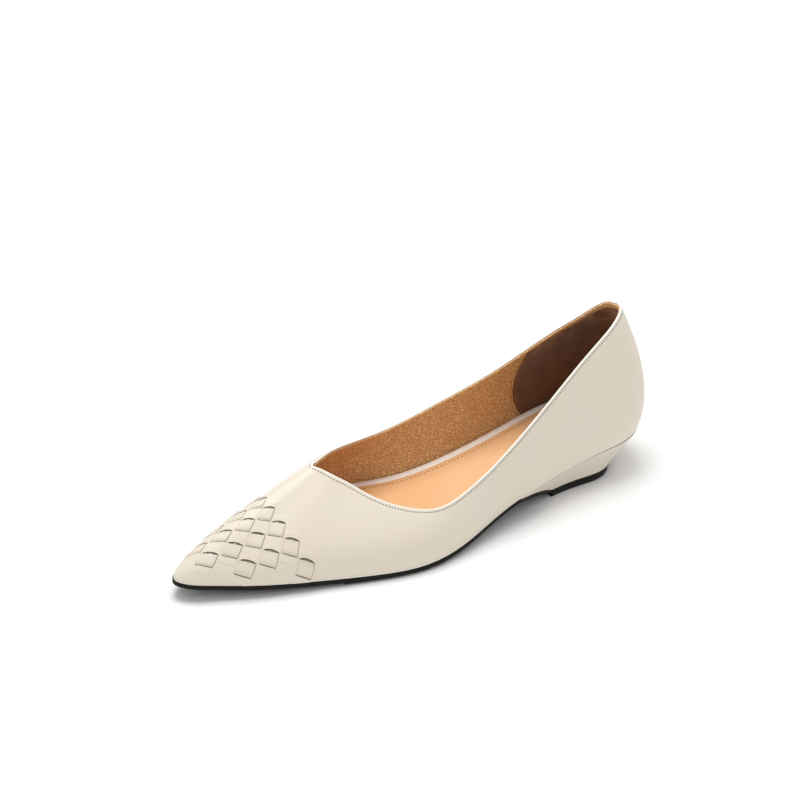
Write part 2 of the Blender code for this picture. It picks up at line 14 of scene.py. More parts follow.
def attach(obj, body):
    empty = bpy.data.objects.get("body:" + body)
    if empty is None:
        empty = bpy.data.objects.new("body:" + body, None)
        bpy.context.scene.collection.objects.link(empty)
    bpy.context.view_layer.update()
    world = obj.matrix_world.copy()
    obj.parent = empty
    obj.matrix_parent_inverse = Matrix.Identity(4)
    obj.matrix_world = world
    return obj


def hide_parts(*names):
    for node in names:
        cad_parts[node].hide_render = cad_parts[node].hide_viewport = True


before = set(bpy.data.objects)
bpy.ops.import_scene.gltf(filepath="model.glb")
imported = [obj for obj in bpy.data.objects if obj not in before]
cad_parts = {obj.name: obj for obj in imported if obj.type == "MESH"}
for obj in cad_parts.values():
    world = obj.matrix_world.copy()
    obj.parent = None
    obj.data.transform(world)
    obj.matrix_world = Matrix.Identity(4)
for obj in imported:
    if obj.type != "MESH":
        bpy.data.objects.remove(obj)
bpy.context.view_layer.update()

# The solids are moved by this, so that the origin lies under the middle of the shoe
SHIFT = np.array([0.00127, 0.00147, 0.0])

# Sizes of the last and of the pieces, as in the solids
LAST_LENGTH = 0.252
HALF_BALL = 0.039
BACK_HEIGHT = 0.0585
HEEL_RISE = 0.0190
TOE_SPRING = 0.0060
SOLE_THICKNESS = 0.0027
WAIST_THICKNESS = 0.0017
WALL = 0.0018
INSOLE_THICKNESS = 0.0028
INSOLE_TOE = 0.0011
INSOLE_FULL = 0.10
SOCK_THICKNESS = 0.0008
WELT = 0.0006
SOLE_BEVEL = 0.0013
TOP_LIFT = 0.0040
LIFT_SLANT = 0.0006
HEEL_TIP = 0.0006
GAP = 0.0003
TREAD_FRONT, TREAD_BACK, WAIST = 0.27, 0.43, 0.60
HEEL_FRONT, LIFT_FRONT, LIFT_BACK = 0.67, 0.76, 0.935
HEEL_TAPER, HEEL_WAIST, BREAST_CURVE = 0.86, 0.98, 1.6

# Leather work
VAMP_REACH = 0.0865      # the vamp meets the quarters this far round the foot from the toe
SKIN = 0.0009            # outer leather, rolled over at the top line
LINING_EDGE = 0.0004     # the lining stops this far below the top of the roll
ROLL = 0.0005            # height of the paler edge, a painted highlight, where the leather is rolled over
GRIP_REACH = 0.0638      # heel grip, from the back seam to the front of its curved edge
GRIP_CURVE = 0.0042      # how far that edge falls back at its ends
GRIP_THICKNESS = 0.0005
RIM_WIDTH = 0.0040       # padded rim of the wrapped insole, round the sock
RIM_HEIGHT = 0.0012
SOCK_ROUND = 0.00035     # round of the sock's upper edge
SEAM_OPEN = 0.0007       # the seam over the heel opens by this towards the back
SEAM_INSET = 0.0004      # and its filling lies this far inside
COVER_ROUND = 0.0004     # height of the small rounds at the ends of the heel's cover
COVER_TUCK = 0.00030     # and their depth
TREAD_WAVE = 0.0034      # twice the step in x + y from one rib of the tread to the next

# Stitches. A size of a stitch is its half length, half width and half height.
TOP_ROW = 0.0014         # row below the top line
TOP_PITCH = 0.0014
TOP_THREAD = (0.00044, 0.00021, 0.00016)
# dark beads of painted shade in the needle holes
NEEDLE_HOLE = (0.00027, 0.00035, 0.00014)
SOCK_ROW = 0.0026        # row inside the sock's edge
SOCK_PITCH = 0.0023
SOCK_THREAD = (0.00072, 0.00022, 0.00012)
GRIP_ROWS = (-0.0012, 0.0014)    # rows ahead of the heel grip's front edge, the first on it
GRIP_PITCH = 0.0021
GRIP_THREAD = (0.00070, 0.00020, 0.00012)

# Woven toe. The strip's width and show are shares of the pitch, and the steps distances
# from the toe and round from the middle line. A file runs along the vamp, a rank across it.
STRIP_WIDTH, STRIP_SHOW = 0.88, 0.97
STRIP_RISE = 0.0005
WEAVE_MIDDLE = (0.0452, 0.0247)
RANK_STEP = (0.0115, 0.0025)
FILE_STEP = (0.0031, 0.0117)
RANK_TURN = (-0.00033, -0.00067)
FILE_TURN = (0.00063, 0.00097)
STRAIGHT_FILE = -2.5
BACK_RANK = 1
WEAVE_FRONT, WEAVE_EDGE, WEAVE_FLARE = 0.0140, 0.0058, 0.82
EDGE_START, EDGE_FALL = 0.93, 0.09    # of a strip's half width: its cut edge falls here
DIP_START, DIP_FALL = 0.90, 0.12      # of its half show: it dips here into a slit
SLIT_DEPTH = 0.0005      # by this much
LIP_RISE = 0.00016       # the leather swells by this where a strip runs beneath it
FILES_SOUGHT, RANKS_SOUGHT = (-14, 8), (-8, 6)
RUN_ON = 4               # points from which the map of the toe is carried on downwards

# Shade of the weave, in shares of the pitch
SLIT_ARCH = 0.085        # an upper slit bends up by this in its middle
SLIT_LEFT = 0.015        # and starts this far inside the strip
SLIT_HALF = 0.054        # half its width
FOLD_ARCH = 0.020        # the thin line below a strip
FOLD_HALF = 0.020
RAGGED = 0.03

# Ribs of the last. across, bulge and top_across are shares of half the ball width, along
# and top_along of the last's length from the toe, rise and top_height of the back height.
RIB_COLUMNS = ("name", "across", "along", "bulge", "rise",
               "top_across", "top_along", "top_height", "fullness", "cut")
RIBS = (
    ("back", 0.000, 1.000, 0.235, 0.325, 0.000, 0.967, 1.010, 1.0, 1.000),
    ("outer_heel", 0.370, 0.985, 0.20, 0.325, 0.165, 0.956, 1.010, 1.0, 1.000),
    ("outer_counter", 0.600, 0.942, 0.16, 0.325, 0.300, 0.922, 0.978, 1.0, 1.000),
    ("outer_seat", 0.636, 0.860, 0.155, 0.31, 0.405, 0.855, 0.872, 1.0, 1.000),
    ("outer_shank", 0.687, 0.740, 0.115, 0.255, 0.580, 0.736, 0.650, 1.0, 1.000),
    ("outer_waist", 0.800, 0.620, 0.09, 0.19, 0.745, 0.613, 0.470, 1.0, 1.000),
    ("outer_arch", 0.974, 0.520, 0.075, 0.18, 0.835, 0.526, 0.400, 1.0, 1.000),
    ("outer_ball", 1.050, 0.420, 0.065, 0.20, 0.825, 0.454, 0.393, 1.0, 1.000),
    ("outer_tread", 0.915, 0.330, 0.065, 0.22, 0.577, 0.388, 0.475, 1.0, 1.000),
    ("outer_vamp", 0.665, 0.220, 0.065, 0.24, 0.260, 0.349, 0.600, 1.0, 0.985),
    ("outer_toe", 0.420, 0.120, 0.056, 0.23, 0.110, 0.335, 0.685, 1.0, 0.968),
    ("outer_point", 0.185, 0.050, 0.05, 0.21, 0.012, 0.328, 0.725, 0.85, 0.958),
    ("outer_tip", 0.033, 0.012, 0.05, 0.21, -0.046, 0.325, 0.745, 0.75, 0.947),
    ("toe", -0.103, 0.000, 0.05, 0.21, -0.095, 0.324, 0.750, 0.70, 0.938),
    ("inner_tip", -0.238, 0.012, 0.05, 0.205, -0.144, 0.325, 0.740, 0.70, 0.945),
    ("inner_point", -0.374, 0.050, 0.05, 0.195, -0.197, 0.328, 0.715, 0.77, 0.960),
    ("inner_toe", -0.585, 0.120, 0.056, 0.185, -0.277, 0.335, 0.680, 0.85, 0.976),
    ("inner_vamp", -0.808, 0.220, 0.065, 0.23, -0.397, 0.352, 0.635, 0.9, 0.985),
    ("inner_tread", -0.975, 0.330, 0.065, 0.28, -0.551, 0.395, 0.592, 1.0, 1.000),
    ("inner_ball", -0.950, 0.420, 0.075, 0.27, -0.682, 0.465, 0.530, 1.0, 1.000),
    ("inner_arch", -0.725, 0.520, 0.10, 0.255, -0.708, 0.535, 0.510, 1.0, 1.000),
    ("inner_waist", -0.590, 0.620, 0.13, 0.255, -0.638, 0.620, 0.548, 1.0, 1.000),
    ("inner_shank", -0.580, 0.740, 0.13, 0.275, -0.531, 0.740, 0.634, 1.0, 1.000),
    ("inner_seat", -0.635, 0.860, 0.155, 0.31, -0.433, 0.860, 0.797, 1.0, 1.000),
    ("inner_counter", -0.525, 0.940, 0.17, 0.325, -0.320, 0.922, 0.900, 1.0, 1.000),
    ("inner_heel", -0.315, 0.985, 0.21, 0.325, -0.190, 0.957, 0.985, 1.0, 1.000),
)
BOTTOM_COLUMNS = ("along", "heel", "spring")
BOTTOM = (
    (0.00, 0.000, 1.00),
    (0.05, 0.000, 0.78),
    (0.12, 0.000, 0.54),
    (0.22, 0.000, 0.24),
    (0.33, 0.000, 0.03),
    (0.42, 0.000, 0.00),
    (0.52, 0.085, 0.00),
    (0.62, 0.316, 0.00),
    (0.74, 0.584, 0.00),
    (0.86, 0.767, 0.00),
    (0.94, 0.900, 0.00),
    (1.00, 1.000, 0.00),
)


def columns(names, rows):
    """A table's columns by name, as arrays."""
    return {name: np.array([row[k] for row in rows]) for k, name in enumerate(names)}


def on_spans(knots, values, bend, places):
    """Cubic spline from its values and bends at the knots: on each span a line between its
    two values plus the cubic terms (a^3 - a) and (b^3 - b) times the bends at its ends."""
    i = np.clip(np.searchsorted(knots, places, side="right") - 1, 0, len(knots) - 2)
    width = knots[i + 1] - knots[i]
    a = (knots[i + 1] - places) / width
    b = 1 - a
    return (a * values[..., i] + b * values[..., i + 1]
            + ((a**3 - a) * bend[..., i] + (b**3 - b) * bend[..., i + 1]) * width**2 / 6)


def closed_spline(knots, values, places):
    """Periodic cubic spline through values at all knots but the last, where it starts anew."""
    step = np.diff(knots)
    before = np.roll(step, 1)
    i = np.arange(len(step))
    matrix = np.diag(2 * (before + step))
    matrix[i, i - 1] += before
    matrix[i, (i + 1) % len(step)] += step
    slope = (np.roll(values, -1, axis=-1) - values) / step
    bend = np.linalg.solve(matrix, 6 * (slope - np.roll(slope, 1, axis=-1)).T).T
    values, bend = (np.concatenate([row, row[..., :1]], axis=-1) for row in (values, bend))
    return on_spans(knots, values, bend, np.mod(places, knots[-1]))


def open_spline(knots, values, places):
    """Natural cubic spline, with no bend at its two ends."""
    step = np.diff(knots)
    i = np.arange(1, len(knots) - 1)
    matrix, change = np.eye(len(knots)), np.zeros(len(knots))
    matrix[i, i - 1], matrix[i, i + 1] = step[:-1], step[1:]
    matrix[i, i] = 2 * (step[:-1] + step[1:])
    change[i] = 6 * np.diff(np.diff(values) / step)
    return on_spans(knots, values, np.linalg.solve(matrix, change), places)


def ease(share):
    """3x^2 - 2x^3 of a share held between 0 and 1."""
    share = np.clip(share, 0, 1)
    return share * share * (3 - 2 * share)


def unit(vectors):
    """Vectors divided by their lengths."""
    return vectors / np.linalg.norm(vectors, axis=-1, keepdims=True)


def along_to_y(along):
    """Y of a share of the last's length from the toe."""
    return (np.asarray(along, float) - 0.5) * LAST_LENGTH


def y_to_along(y):
    """The share of the last's length that lies at y."""
    return np.asarray(y, float) / LAST_LENGTH + 0.5


RIB = columns(RIB_COLUMNS, RIBS)
LAST = columns(BOTTOM_COLUMNS, BOTTOM)
FEATHER = np.stack([RIB["across"] * HALF_BALL, along_to_y(RIB["along"])], 1)
KNOTS = np.concatenate([[0], np.cumsum(np.linalg.norm(np.roll(FEATHER, -1, 0) - FEATHER, axis=1))])
GIRTH = KNOTS[-1]
TOE = list(RIB["name"]).index("toe")


def feather_height(y):
    """Bottom of the last: sole thickness plus a spline of its shares of heel rise and spring."""
    lifted = SOLE_THICKNESS + GAP + LAST["heel"] * HEEL_RISE + LAST["spring"] * TOE_SPRING
    return open_spline(LAST["along"], lifted, y_to_along(y))


def rib_ends(u):
    """Feather, side and top points of the ribs at places u, their weights and outward
    directions: closed splines through the rib table, with heights above the feather line."""
    values = np.stack([
        FEATHER[:, 0], FEATHER[:, 1], RIB["bulge"] * HALF_BALL, RIB["rise"] * BACK_HEIGHT,
        RIB["top_across"] * HALF_BALL, along_to_y(RIB["top_along"]),
        RIB["top_height"] * BACK_HEIGHT, RIB["fullness"]])
    x, y, bulge, rise, top_x, top_y, top_height, weight = closed_spline(KNOTS, values, u)
    small = 1e-5
    run_x, run_y = (closed_spline(KNOTS, FEATHER.T, u + small)
                    - closed_spline(KNOTS, FEATHER.T, u - small))
    outward = unit(np.stack([-run_y, run_x], 1))
    feather = np.stack([x, y, feather_height(y)], 1)
    side = feather + np.column_stack([outward * bulge[:, None], rise])
    top = np.stack([top_x, top_y, top_height + feather_height(top_y)], 1)
    return feather, side, top, weight, outward


def top_line(u):
    """Share of each rib that is kept: a spline that starts and ends at the toe rib."""
    places = np.concatenate([KNOTS[TOE:-1] - GIRTH, KNOTS[:TOE + 1]])
    kept = np.concatenate([RIB["cut"][TOE:], RIB["cut"][:TOE + 1]])
    u = np.mod(u, GIRTH)
    return open_spline(places, kept, np.where(u > KNOTS[TOE], u - GIRTH, u))


def last_surface(u, v):
    """Outer face of the upper. Rib u is the conic ((1-k)^2 F + 2k(1-k)w S + k^2 T) over
    ((1-k)^2 + 2k(1-k)w + k^2), with k the share v of the rib's kept part. v is one row of
    shares for all ribs, or an array of rib x share."""
    feather, side, top, weight, _ = rib_ends(u)
    k = np.clip(np.atleast_2d(v), 0, None) * top_line(u)[:, None]
    a, b, c = (1 - k) ** 2, 2 * k * (1 - k) * weight[:, None], k**2
    return (a[..., None] * feather[:, None] + b[..., None] * side[:, None]
            + c[..., None] * top[:, None]) / (a + b + c)[..., None]


def last_frame(u, v):
    """Points of the outer face, outward normals and directions up the rib: unit central
    differences along u and v, and their cross product."""
    small_u, small_v = 2e-5, 1e-3
    v = np.atleast_2d(v)
    round_foot = last_surface(u + small_u, v) - last_surface(u - small_u, v)
    up = unit(last_surface(u, v + small_v) - last_surface(u, v - small_v * (v > small_v)))
    normal = unit(np.cross(up, round_foot))
    return last_surface(u, v), normal, unit(up - (up * normal).sum(-1, keepdims=True) * normal)


def rib_length(u):
    """Length of each rib from the feather line to the top line, summed along 60 steps."""
    steps = np.diff(last_surface(u, np.linspace(0, 1, 61)), axis=1)
    return np.linalg.norm(steps, axis=2).sum(1)


class Number:
    """A number that runs through a material. It wraps a socket, and an expression on it
    adds the Math nodes that work it out."""

    def __init__(self, paint, socket):
        self.paint, self.socket = paint, socket

    def maths(self, operation, first, second=0.0):
        node = self.paint.node("ShaderNodeMath", {"operation": operation}, {0: first, 1: second})
        return Number(self.paint, node.outputs[0])

    def __add__(self, other):
        return self.maths("ADD", self, other)

    def __sub__(self, other):
        return self.maths("SUBTRACT", self, other)

    def __rsub__(self, other):
        return self.maths("SUBTRACT", other, self)

    def __mul__(self, other):
        return self.maths("MULTIPLY", self, other)

    def __abs__(self):
        return self.maths("ABSOLUTE", self)

    def __mod__(self, other):
        return self.maths("FLOORED_MODULO", self, other)

    __radd__ = __add__

    def sine(self):
        return self.maths("SINE", self)

    def at_least(self, other):
        return self.maths("MAXIMUM", self, other)

    def at_most(self, other):
        return self.maths("MINIMUM", self, other)

    def step(self, low, high):
        """Smooth step of the number, from 0 at low to 1 at high."""
        node = self.paint.node(
            "ShaderNodeMapRange", {"interpolation_type": "SMOOTHSTEP"},
            {"Value": self, "From Min": low, "From Max": high, "To Min": 0.0, "To Max": 1.0})
        return Number(self.paint, node.outputs[0])


class Paint:
    """One material, and the one method that adds its nodes."""

    def __init__(self, name):
        self.material = bpy.data.materials.new(name)
        self.material.use_nodes = True
        self.tree = self.material.node_tree
        self.shader = self.tree.nodes["Principled BSDF"]

    def node(self, kind, settings=None, inputs=None):
        """A node of this kind, with its settings made first and then its sockets' values
        or links."""
        made = self.tree.nodes.new(kind)
        for key, value in (settings or {}).items():
            setattr(made, key, value)
        for key, value in (inputs or {}).items():
            self.give(made.inputs[key], value)
        return made

    def give(self, socket, value):
        """A socket gets a number, a colour, a link or a Number."""
        if isinstance(value, Number):
            value = value.socket
        if isinstance(value, bpy.types.NodeSocket):
            self.tree.links.new(value, socket)
        elif isinstance(value, tuple) and len(value) == 3 and socket.type == "RGBA":
            socket.default_value = (*value, 1)
        else:
            socket.default_value = value

    def surface(self, **inputs):
        """Sets sockets of the surface shader. An underscore in a name stands for a space."""
        for key, value in inputs.items():
            self.give(self.shader.inputs[key.replace("_", " ")], value)
        return self.material

    def place(self):
        """Place on the piece, in metres."""
        return self.node("ShaderNodeTexCoord").outputs["Object"]

    def stretched(self, scale):
        """Place on the piece with each axis times a factor."""
        return self.node("ShaderNodeMapping", None, {"Vector": self.place(), "Scale": scale}).outputs[0]

    def noise(self, scale, detail=2.0, where=None, rough=0.5):
        """Soft noise from 0 to 1, with so many waves to the metre."""
        made = self.node("ShaderNodeTexNoise", None, {
            "Vector": where or self.place(), "Scale": scale, "Detail": detail, "Roughness": rough})
        return Number(self, made.outputs[0])

    def cells(self, scale, feature="F1", where=None):
        """Distance in a field of cells, such as the pebbles of a grain."""
        made = self.node("ShaderNodeTexVoronoi", {"feature": feature},
                         {"Vector": where or self.place(), "Scale": scale})
        return Number(self, made.outputs["Distance"])

    def mix(self, share, first, second):
        """One colour with a share of another mixed into it."""
        made = self.node("ShaderNodeMix", {"data_type": "RGBA"},
                         {0: share, 6: first, 7: second})
        return made.outputs[2]

    def bump(self, height, depth, strength=1.0, under=None):
        """Normal of a relief whose height runs from 0 to depth in metres."""
        inputs = {"Height": height, "Distance": depth, "Strength": strength}
        if under is not None:
            inputs["Normal"] = under
        return self.node("ShaderNodeBump", None, inputs).outputs[0]

    def pair(self, name):
        """The two numbers of the piece's own map of that name."""
        chart = self.node("ShaderNodeUVMap", {"uv_map": name}).outputs[0]
        split = self.node("ShaderNodeSeparateXYZ", None, {0: chart})
        return Number(self, split.outputs[0]), Number(self, split.outputs[1])

    def share(self, name):
        """The number that the piece holds at each point under that name."""
        made = self.node("ShaderNodeAttribute", {"attribute_name": name})
        return Number(self, made.outputs["Fac"])


CREAM = (0.775, 0.700, 0.585)
CREAM_WARM = (0.785, 0.690, 0.550)
# colour of the painted highlights on the leather's edges
EDGE_HIGHLIGHT = (0.98, 0.95, 0.89)
SLIT_SHADE = (0.060, 0.045, 0.032)


def smooth_leather(paint, light, warm):
    """Colour, roughness and grain of a smooth finished leather: faint clouds of a warmer
    tone, pores 0.4 mm apart and a soft grain, each worked out from the place."""
    clouds = paint.noise(38, 3.0).step(0.35, 0.70)
    colour = paint.mix(clouds * 0.55, light, warm)
    pores = paint.cells(2600)
    grain = paint.noise(1500, 4.0)
    relief = paint.bump(grain * 0.7 + pores * 0.5, 0.00004, 0.55)
    rough = 0.36 + grain * 0.12 + clouds * 0.04
    return colour, rough, relief


def vamp_leather():
    """Smooth leather with the painted shade of the weave, read from the map of places on it,
    whose cells are one by one. a and b run from -1 to 1 across a strip and down it. An upper
    slit is painted dark, as shade, within its half width times 1 - a^4 of the arch SLIT_ARCH (1 - a^2)
    over the border between two rows. The fold below a strip and its cut edges are thin lines of painted
    shade, the cut edges darker on the side away from the light, and each strip gets painted
    shade under its upper slit and towards its fold."""
    paint = Paint("cream leather, woven toe")
    colour, rough, relief = smooth_leather(paint, CREAM, CREAM_WARM)
    colour = painted_edge_highlights(paint, colour)
    column, row = paint.pair("weave")
    woven, slit_above, slit_below = (paint.share(name).step(0.4, 0.6)
                                     for name in ("woven", "slit_above", "slit_below"))
    a = ((column + 0.5) % 1.0 - 0.5) * (2 / STRIP_WIDTH)
    b = ((row + 0.5) % 1.0 - 0.5) * (2 / STRIP_SHOW)
    from_border = row % 1.0 - 0.5
    round_off = a * a
    inside = 1 - abs(a).step(0.98, 1.06)

    ragged = paint.noise(900, 2.0) * RAGGED - RAGGED / 2
    # painted shade in the upper slits and along the folds below the strips
    arch = abs(from_border + (1 - round_off) * SLIT_ARCH - SLIT_LEFT)
    past_slit = arch - (1 - round_off * round_off) * SLIT_HALF - ragged
    slit = (1 - past_slit.step(-0.022, 0.020)) * inside * slit_above
    past_fold = abs(from_border + round_off * FOLD_ARCH) - (1 - round_off * 0.5) * FOLD_HALF
    fold = (1 - past_fold.step(-0.010, 0.022)) * inside * slit_below
    cut_edge = (1 - abs(abs(a) - 1.0).step(0.015, 0.06)) * (1 - abs(b).step(0.98, 1.04)) * woven
    # painted shade: the cut edges are darker on the +a side, away from the light
    side_away_from_light = a.step(-0.1, 0.1) * 0.50 + 0.26
    dark = (slit + fold * 0.75 + cut_edge * side_away_from_light).at_most(1.0)

    # painted shade on each strip, under its upper slit and towards its fold
    under_slit = 1 - (b + 1.0).step(0.05, 0.75)
    towards_fold = (b - 0.2).step(0.0, 0.8)
    shade = under_slit * 0.20 + towards_fold * 0.10
    colour = paint.mix(shade * inside * woven, colour, SLIT_SHADE)
    colour = paint.mix(dark * 0.95, colour, SLIT_SHADE)
    return paint.surface(Base_Color=colour, Roughness=rough + dark * 0.3, Normal=relief,
                         Coat_Weight=0.10, Coat_Roughness=0.28)


def painted_edge_highlights(paint, colour):
    """The leather's colour with painted highlights: paler in its lowest millimetre, as a thin bright
    line above the sole, and over the rolled top line. The larger share of the two holds."""
    _, height = paint.pair("wall")
    foot = 1 - height.step(0.0006, 0.0012)
    # painted highlight along the bottom edge and over the rolled top line
    painted_highlight = (foot * 0.75).at_least(paint.share("rolled") * 0.9)
    return paint.mix(painted_highlight, colour, EDGE_HIGHLIGHT)


def quarter_leather():
    """Smooth leather with a closed seam down the back, a groove 0.6 mm wide darkened with painted shade.
    """
    paint = Paint("cream leather")
    colour, rough, relief = smooth_leather(paint, CREAM, CREAM_WARM)
    colour = painted_edge_highlights(paint, colour)
    from_toe, _ = paint.pair("wall")
    seam = 1 - abs(from_toe - (GIRTH - KNOTS[TOE])).step(0.00012, 0.00045)
    # painted shade in the seam's groove
    colour = paint.mix(seam * 0.75, colour, SLIT_SHADE)
    relief = paint.bump(1 - seam, 0.0004, 0.8, relief)
    return paint.surface(Base_Color=colour, Roughness=rough, Normal=relief,
                         Coat_Weight=0.10, Coat_Roughness=0.28)


def heel_leather():
    """The same leather drawn over the wedge, made a little darker with painted shade."""
    paint = Paint("covered heel leather")
    colour, rough, relief = smooth_leather(paint, (0.72, 0.66, 0.56), (0.73, 0.65, 0.53))
    return paint.surface(Base_Color=colour, Roughness=rough, Normal=relief,
                         Coat_Weight=0.08, Coat_Roughness=0.3)


def edge_leather():
    """Leather wrapped round the insole board."""
    paint = Paint("wrapped insole edge")
    colour, rough, relief = smooth_leather(paint, (0.98, 0.93, 0.86), (0.97, 0.90, 0.81))
    return paint.surface(Base_Color=colour, Roughness=rough + 0.06, Normal=relief)


def lining_leather():
    """Tan pigskin lining: pebbles 1 mm high and 2 mm long with creases between them, over
    a cloudy tone. Noise moves their places by about a millimetre. The creases are darkened
    with painted shade and the pale flecks are painted highlights."""
    paint = Paint("tan lining leather")
    wander = paint.noise(90, 3.0)
    drift = paint.node("ShaderNodeTexNoise", None, {
        "Vector": paint.place(), "Scale": 420.0, "Detail": 2.0}).outputs["Color"]
    bent = paint.node("ShaderNodeVectorMath", {"operation": "MULTIPLY_ADD"}, {
        0: drift, 1: (0.0013, 0.0013, 0.0013), 2: paint.stretched((1.0, 0.60, 1.25))}).outputs[0]
    pebble = paint.cells(820, "DISTANCE_TO_EDGE", bent).step(0.0, 0.26)
    fine = paint.noise(1700, 3.0, bent)
    colour = paint.mix(wander.step(0.3, 0.7), (0.92, 0.52, 0.205), (0.97, 0.60, 0.26))
    # painted shade in the creases between the pebbles
    colour = paint.mix((1 - pebble) * 0.65, colour, (0.40, 0.155, 0.040))
    # painted highlights as pale flecks on the grain
    colour = paint.mix(fine.step(0.50, 0.66) * 0.55, colour, (0.98, 0.70, 0.42))
    relief = paint.bump(pebble * 0.8 + fine * 0.4, 0.00036, 1.0)
    return paint.surface(Base_Color=colour, Roughness=0.40 + fine * 0.12, Normal=relief)


def suede():
    """Brown suede heel grip: short fibres as fine noise, paler in patches and most of all along its top.
    """
    paint = Paint("brown suede")
    _, height = paint.pair("wall")
    fibres = paint.noise(3200, 4.0, rough=0.7)
    pale_patches = paint.noise(150, 3.0).step(0.35, 0.65)
    # paler towards the top edge, in patches
    top = height.step(0.78, 0.95) * pale_patches * 0.8 + pale_patches * 0.18
    colour = paint.mix(top, (0.150, 0.056, 0.014), (0.310, 0.160, 0.060))
    colour = paint.mix(fibres * 0.45, colour, (0.088, 0.033, 0.008))
    relief = paint.bump(fibres, 0.00022, 0.8)
    return paint.surface(Base_Color=colour, Roughness=0.92, Normal=relief,
                         Sheen_Weight=0.25, Sheen_Roughness=0.5)


def sock_leather():
    """Smooth tan sock with faint pores."""
    paint = Paint("tan sock leather")
    clouds = paint.noise(30, 3.0).step(0.3, 0.7)
    pores = paint.cells(1900)
    grain = paint.noise(1100, 4.0)
    colour = paint.mix(clouds, (0.82, 0.465, 0.215), (0.85, 0.50, 0.25))
    relief = paint.bump(grain * 0.6 + pores * 0.6, 0.00006, 0.5)
    return paint.surface(Base_Color=colour, Roughness=0.46 + grain * 0.10, Normal=relief)


def sole_rubber(name):
    """Black rubber: a dull fine grain, and on what faces the floor low ribs 1.2 mm apart
    that cross at 45 degrees."""
    paint = Paint(name)
    grain = paint.noise(1300, 3.0)
    wear = paint.noise(90, 3.0).step(0.4, 0.75)
    colour = paint.mix(wear * 0.6, (0.0060, 0.0050, 0.0038), (0.013, 0.011, 0.0085))
    split = paint.node("ShaderNodeSeparateXYZ", None, {0: paint.place()})
    x, y = Number(paint, split.outputs[0]), Number(paint, split.outputs[1])
    facing = Number(paint, paint.node("ShaderNodeSeparateXYZ", None, {
        0: paint.node("ShaderNodeNewGeometry").outputs["Normal"]}).outputs[2])
    per_metre = 2 * math.pi / TREAD_WAVE
    rib = abs(((x + y) * per_metre).sine()) + abs(((x - y) * per_metre).sine())
    under = (facing * -1.0).step(0.90, 0.97)
    relief = paint.bump(rib.step(0.5, 1.2) * under, 0.00035, 0.7,
                        paint.bump(grain, 0.00005, 0.5))
    return paint.surface(Base_Color=colour, Roughness=0.46 + grain * 0.12 + wear * 0.1,
                         Normal=relief, Specular_IOR_Level=0.22)


def seam_board_and_shade():
    """Dark brown leather board seen edge on in the seam, with its layers as faint streaks; its darkness
    is partly the board's own colour and partly painted shade in the seam.
    """
    paint = Paint("seam board")
    layers = paint.noise(900, 3.0, paint.stretched((1.0, 1.0, 6.0)))
    # dark brown: partly the board's own colour, partly painted shade in the seam
    colour = paint.mix(layers, (0.028, 0.020, 0.013), (0.060, 0.043, 0.028))
    return paint.surface(Base_Color=colour, Roughness=0.8)


def thread(name, colour, dark):
    """Twisted thread, flecked with the darker tone."""
    paint = Paint(name)
    twist = paint.noise(4200, 2.0, paint.stretched((1.0, 0.35, 1.6)))
    mixed = paint.mix(twist.step(0.35, 0.65), colour, dark)
    return paint.surface(Base_Color=mixed, Roughness=0.62, Sheen_Weight=0.15)


def grid_quads(rows, around):
    """Corner numbers of the quads between rows of points, each row a closed loop."""
    here = np.arange((rows - 1) * around).reshape(rows - 1, around)
    beside = np.roll(here, -1, axis=1)
    return np.stack([here, beside, beside + around, here + around], -1).reshape(-1, 4)


def volume_of(points, quads):
    """Six times the signed volume that the quads enclose, from their two triangles each."""
    a, b, c, d = (points[quads[:, k]] for k in range(4))
    return (np.einsum("ij,ij->i", a, np.cross(b, c)) + np.einsum("ij,ij->i", a, np.cross(c, d))).sum()


def new_piece(name, points, faces, material, slot, sharp=None, maps=None, shares=None):
    """A piece from arrays of points, in the last's frame, and faces. maps hold two numbers
    for each point and shares one. The piece rides on the shoe's one body."""
    mesh = bpy.data.meshes.new(name)
    mesh.from_pydata((points - SHIFT).tolist(), [], faces)
    mesh.materials.append(material)
    corners = np.empty(len(mesh.loops), dtype=np.int32)
    mesh.loops.foreach_get("vertex_index", corners)
    for label, values in (maps or {}).items():
        mesh.uv_layers.new(name=label).data.foreach_set("uv", values[corners].astype(np.float32).ravel())
    for label, values in (shares or {}).items():
        mesh.attributes.new(label, "FLOAT", "POINT").data.foreach_set("value", values.astype(np.float32))
    mesh.shade_smooth()
    if sharp is not None:
        mesh.set_sharp_from_angle(angle=math.radians(sharp))
    piece = bpy.data.objects.new(name, mesh)
    bpy.context.scene.collection.objects.link(piece)
    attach(piece, "root")
    return piece


def lofted(name, loops, material, slot, closed=False, **more):
    """A closed skin through loops, an array of loop x point x 3. The last loop joins the
    first where closed is true, and otherwise each end loop is filled with one face."""
    rows, around, _ = loops.shape
    points = loops.reshape(-1, 3)
    quads = grid_quads(rows, around)
    if closed:
        last = (rows - 1) * around + np.arange(around)
        first = np.arange(around)
        quads = np.concatenate([quads, np.stack([
            last, np.roll(last, -1), np.roll(first, -1), first], -1)])
    inside_out = volume_of(points, quads) < 0
    if inside_out:
        quads = quads[:, ::-1]
    faces = quads.tolist()
    if not closed:
        start, end = list(range(around)), list(range((rows - 1) * around, rows * around))
        faces += [start if inside_out else start[::-1], end[::-1] if inside_out else end]
    for kind in ("maps", "shares"):
        if more.get(kind):
            more[kind] = {label: values.reshape(len(points), -1).squeeze()
                          for label, values in more[kind].items()}
    return new_piece(name, points, faces, material, slot, **more)


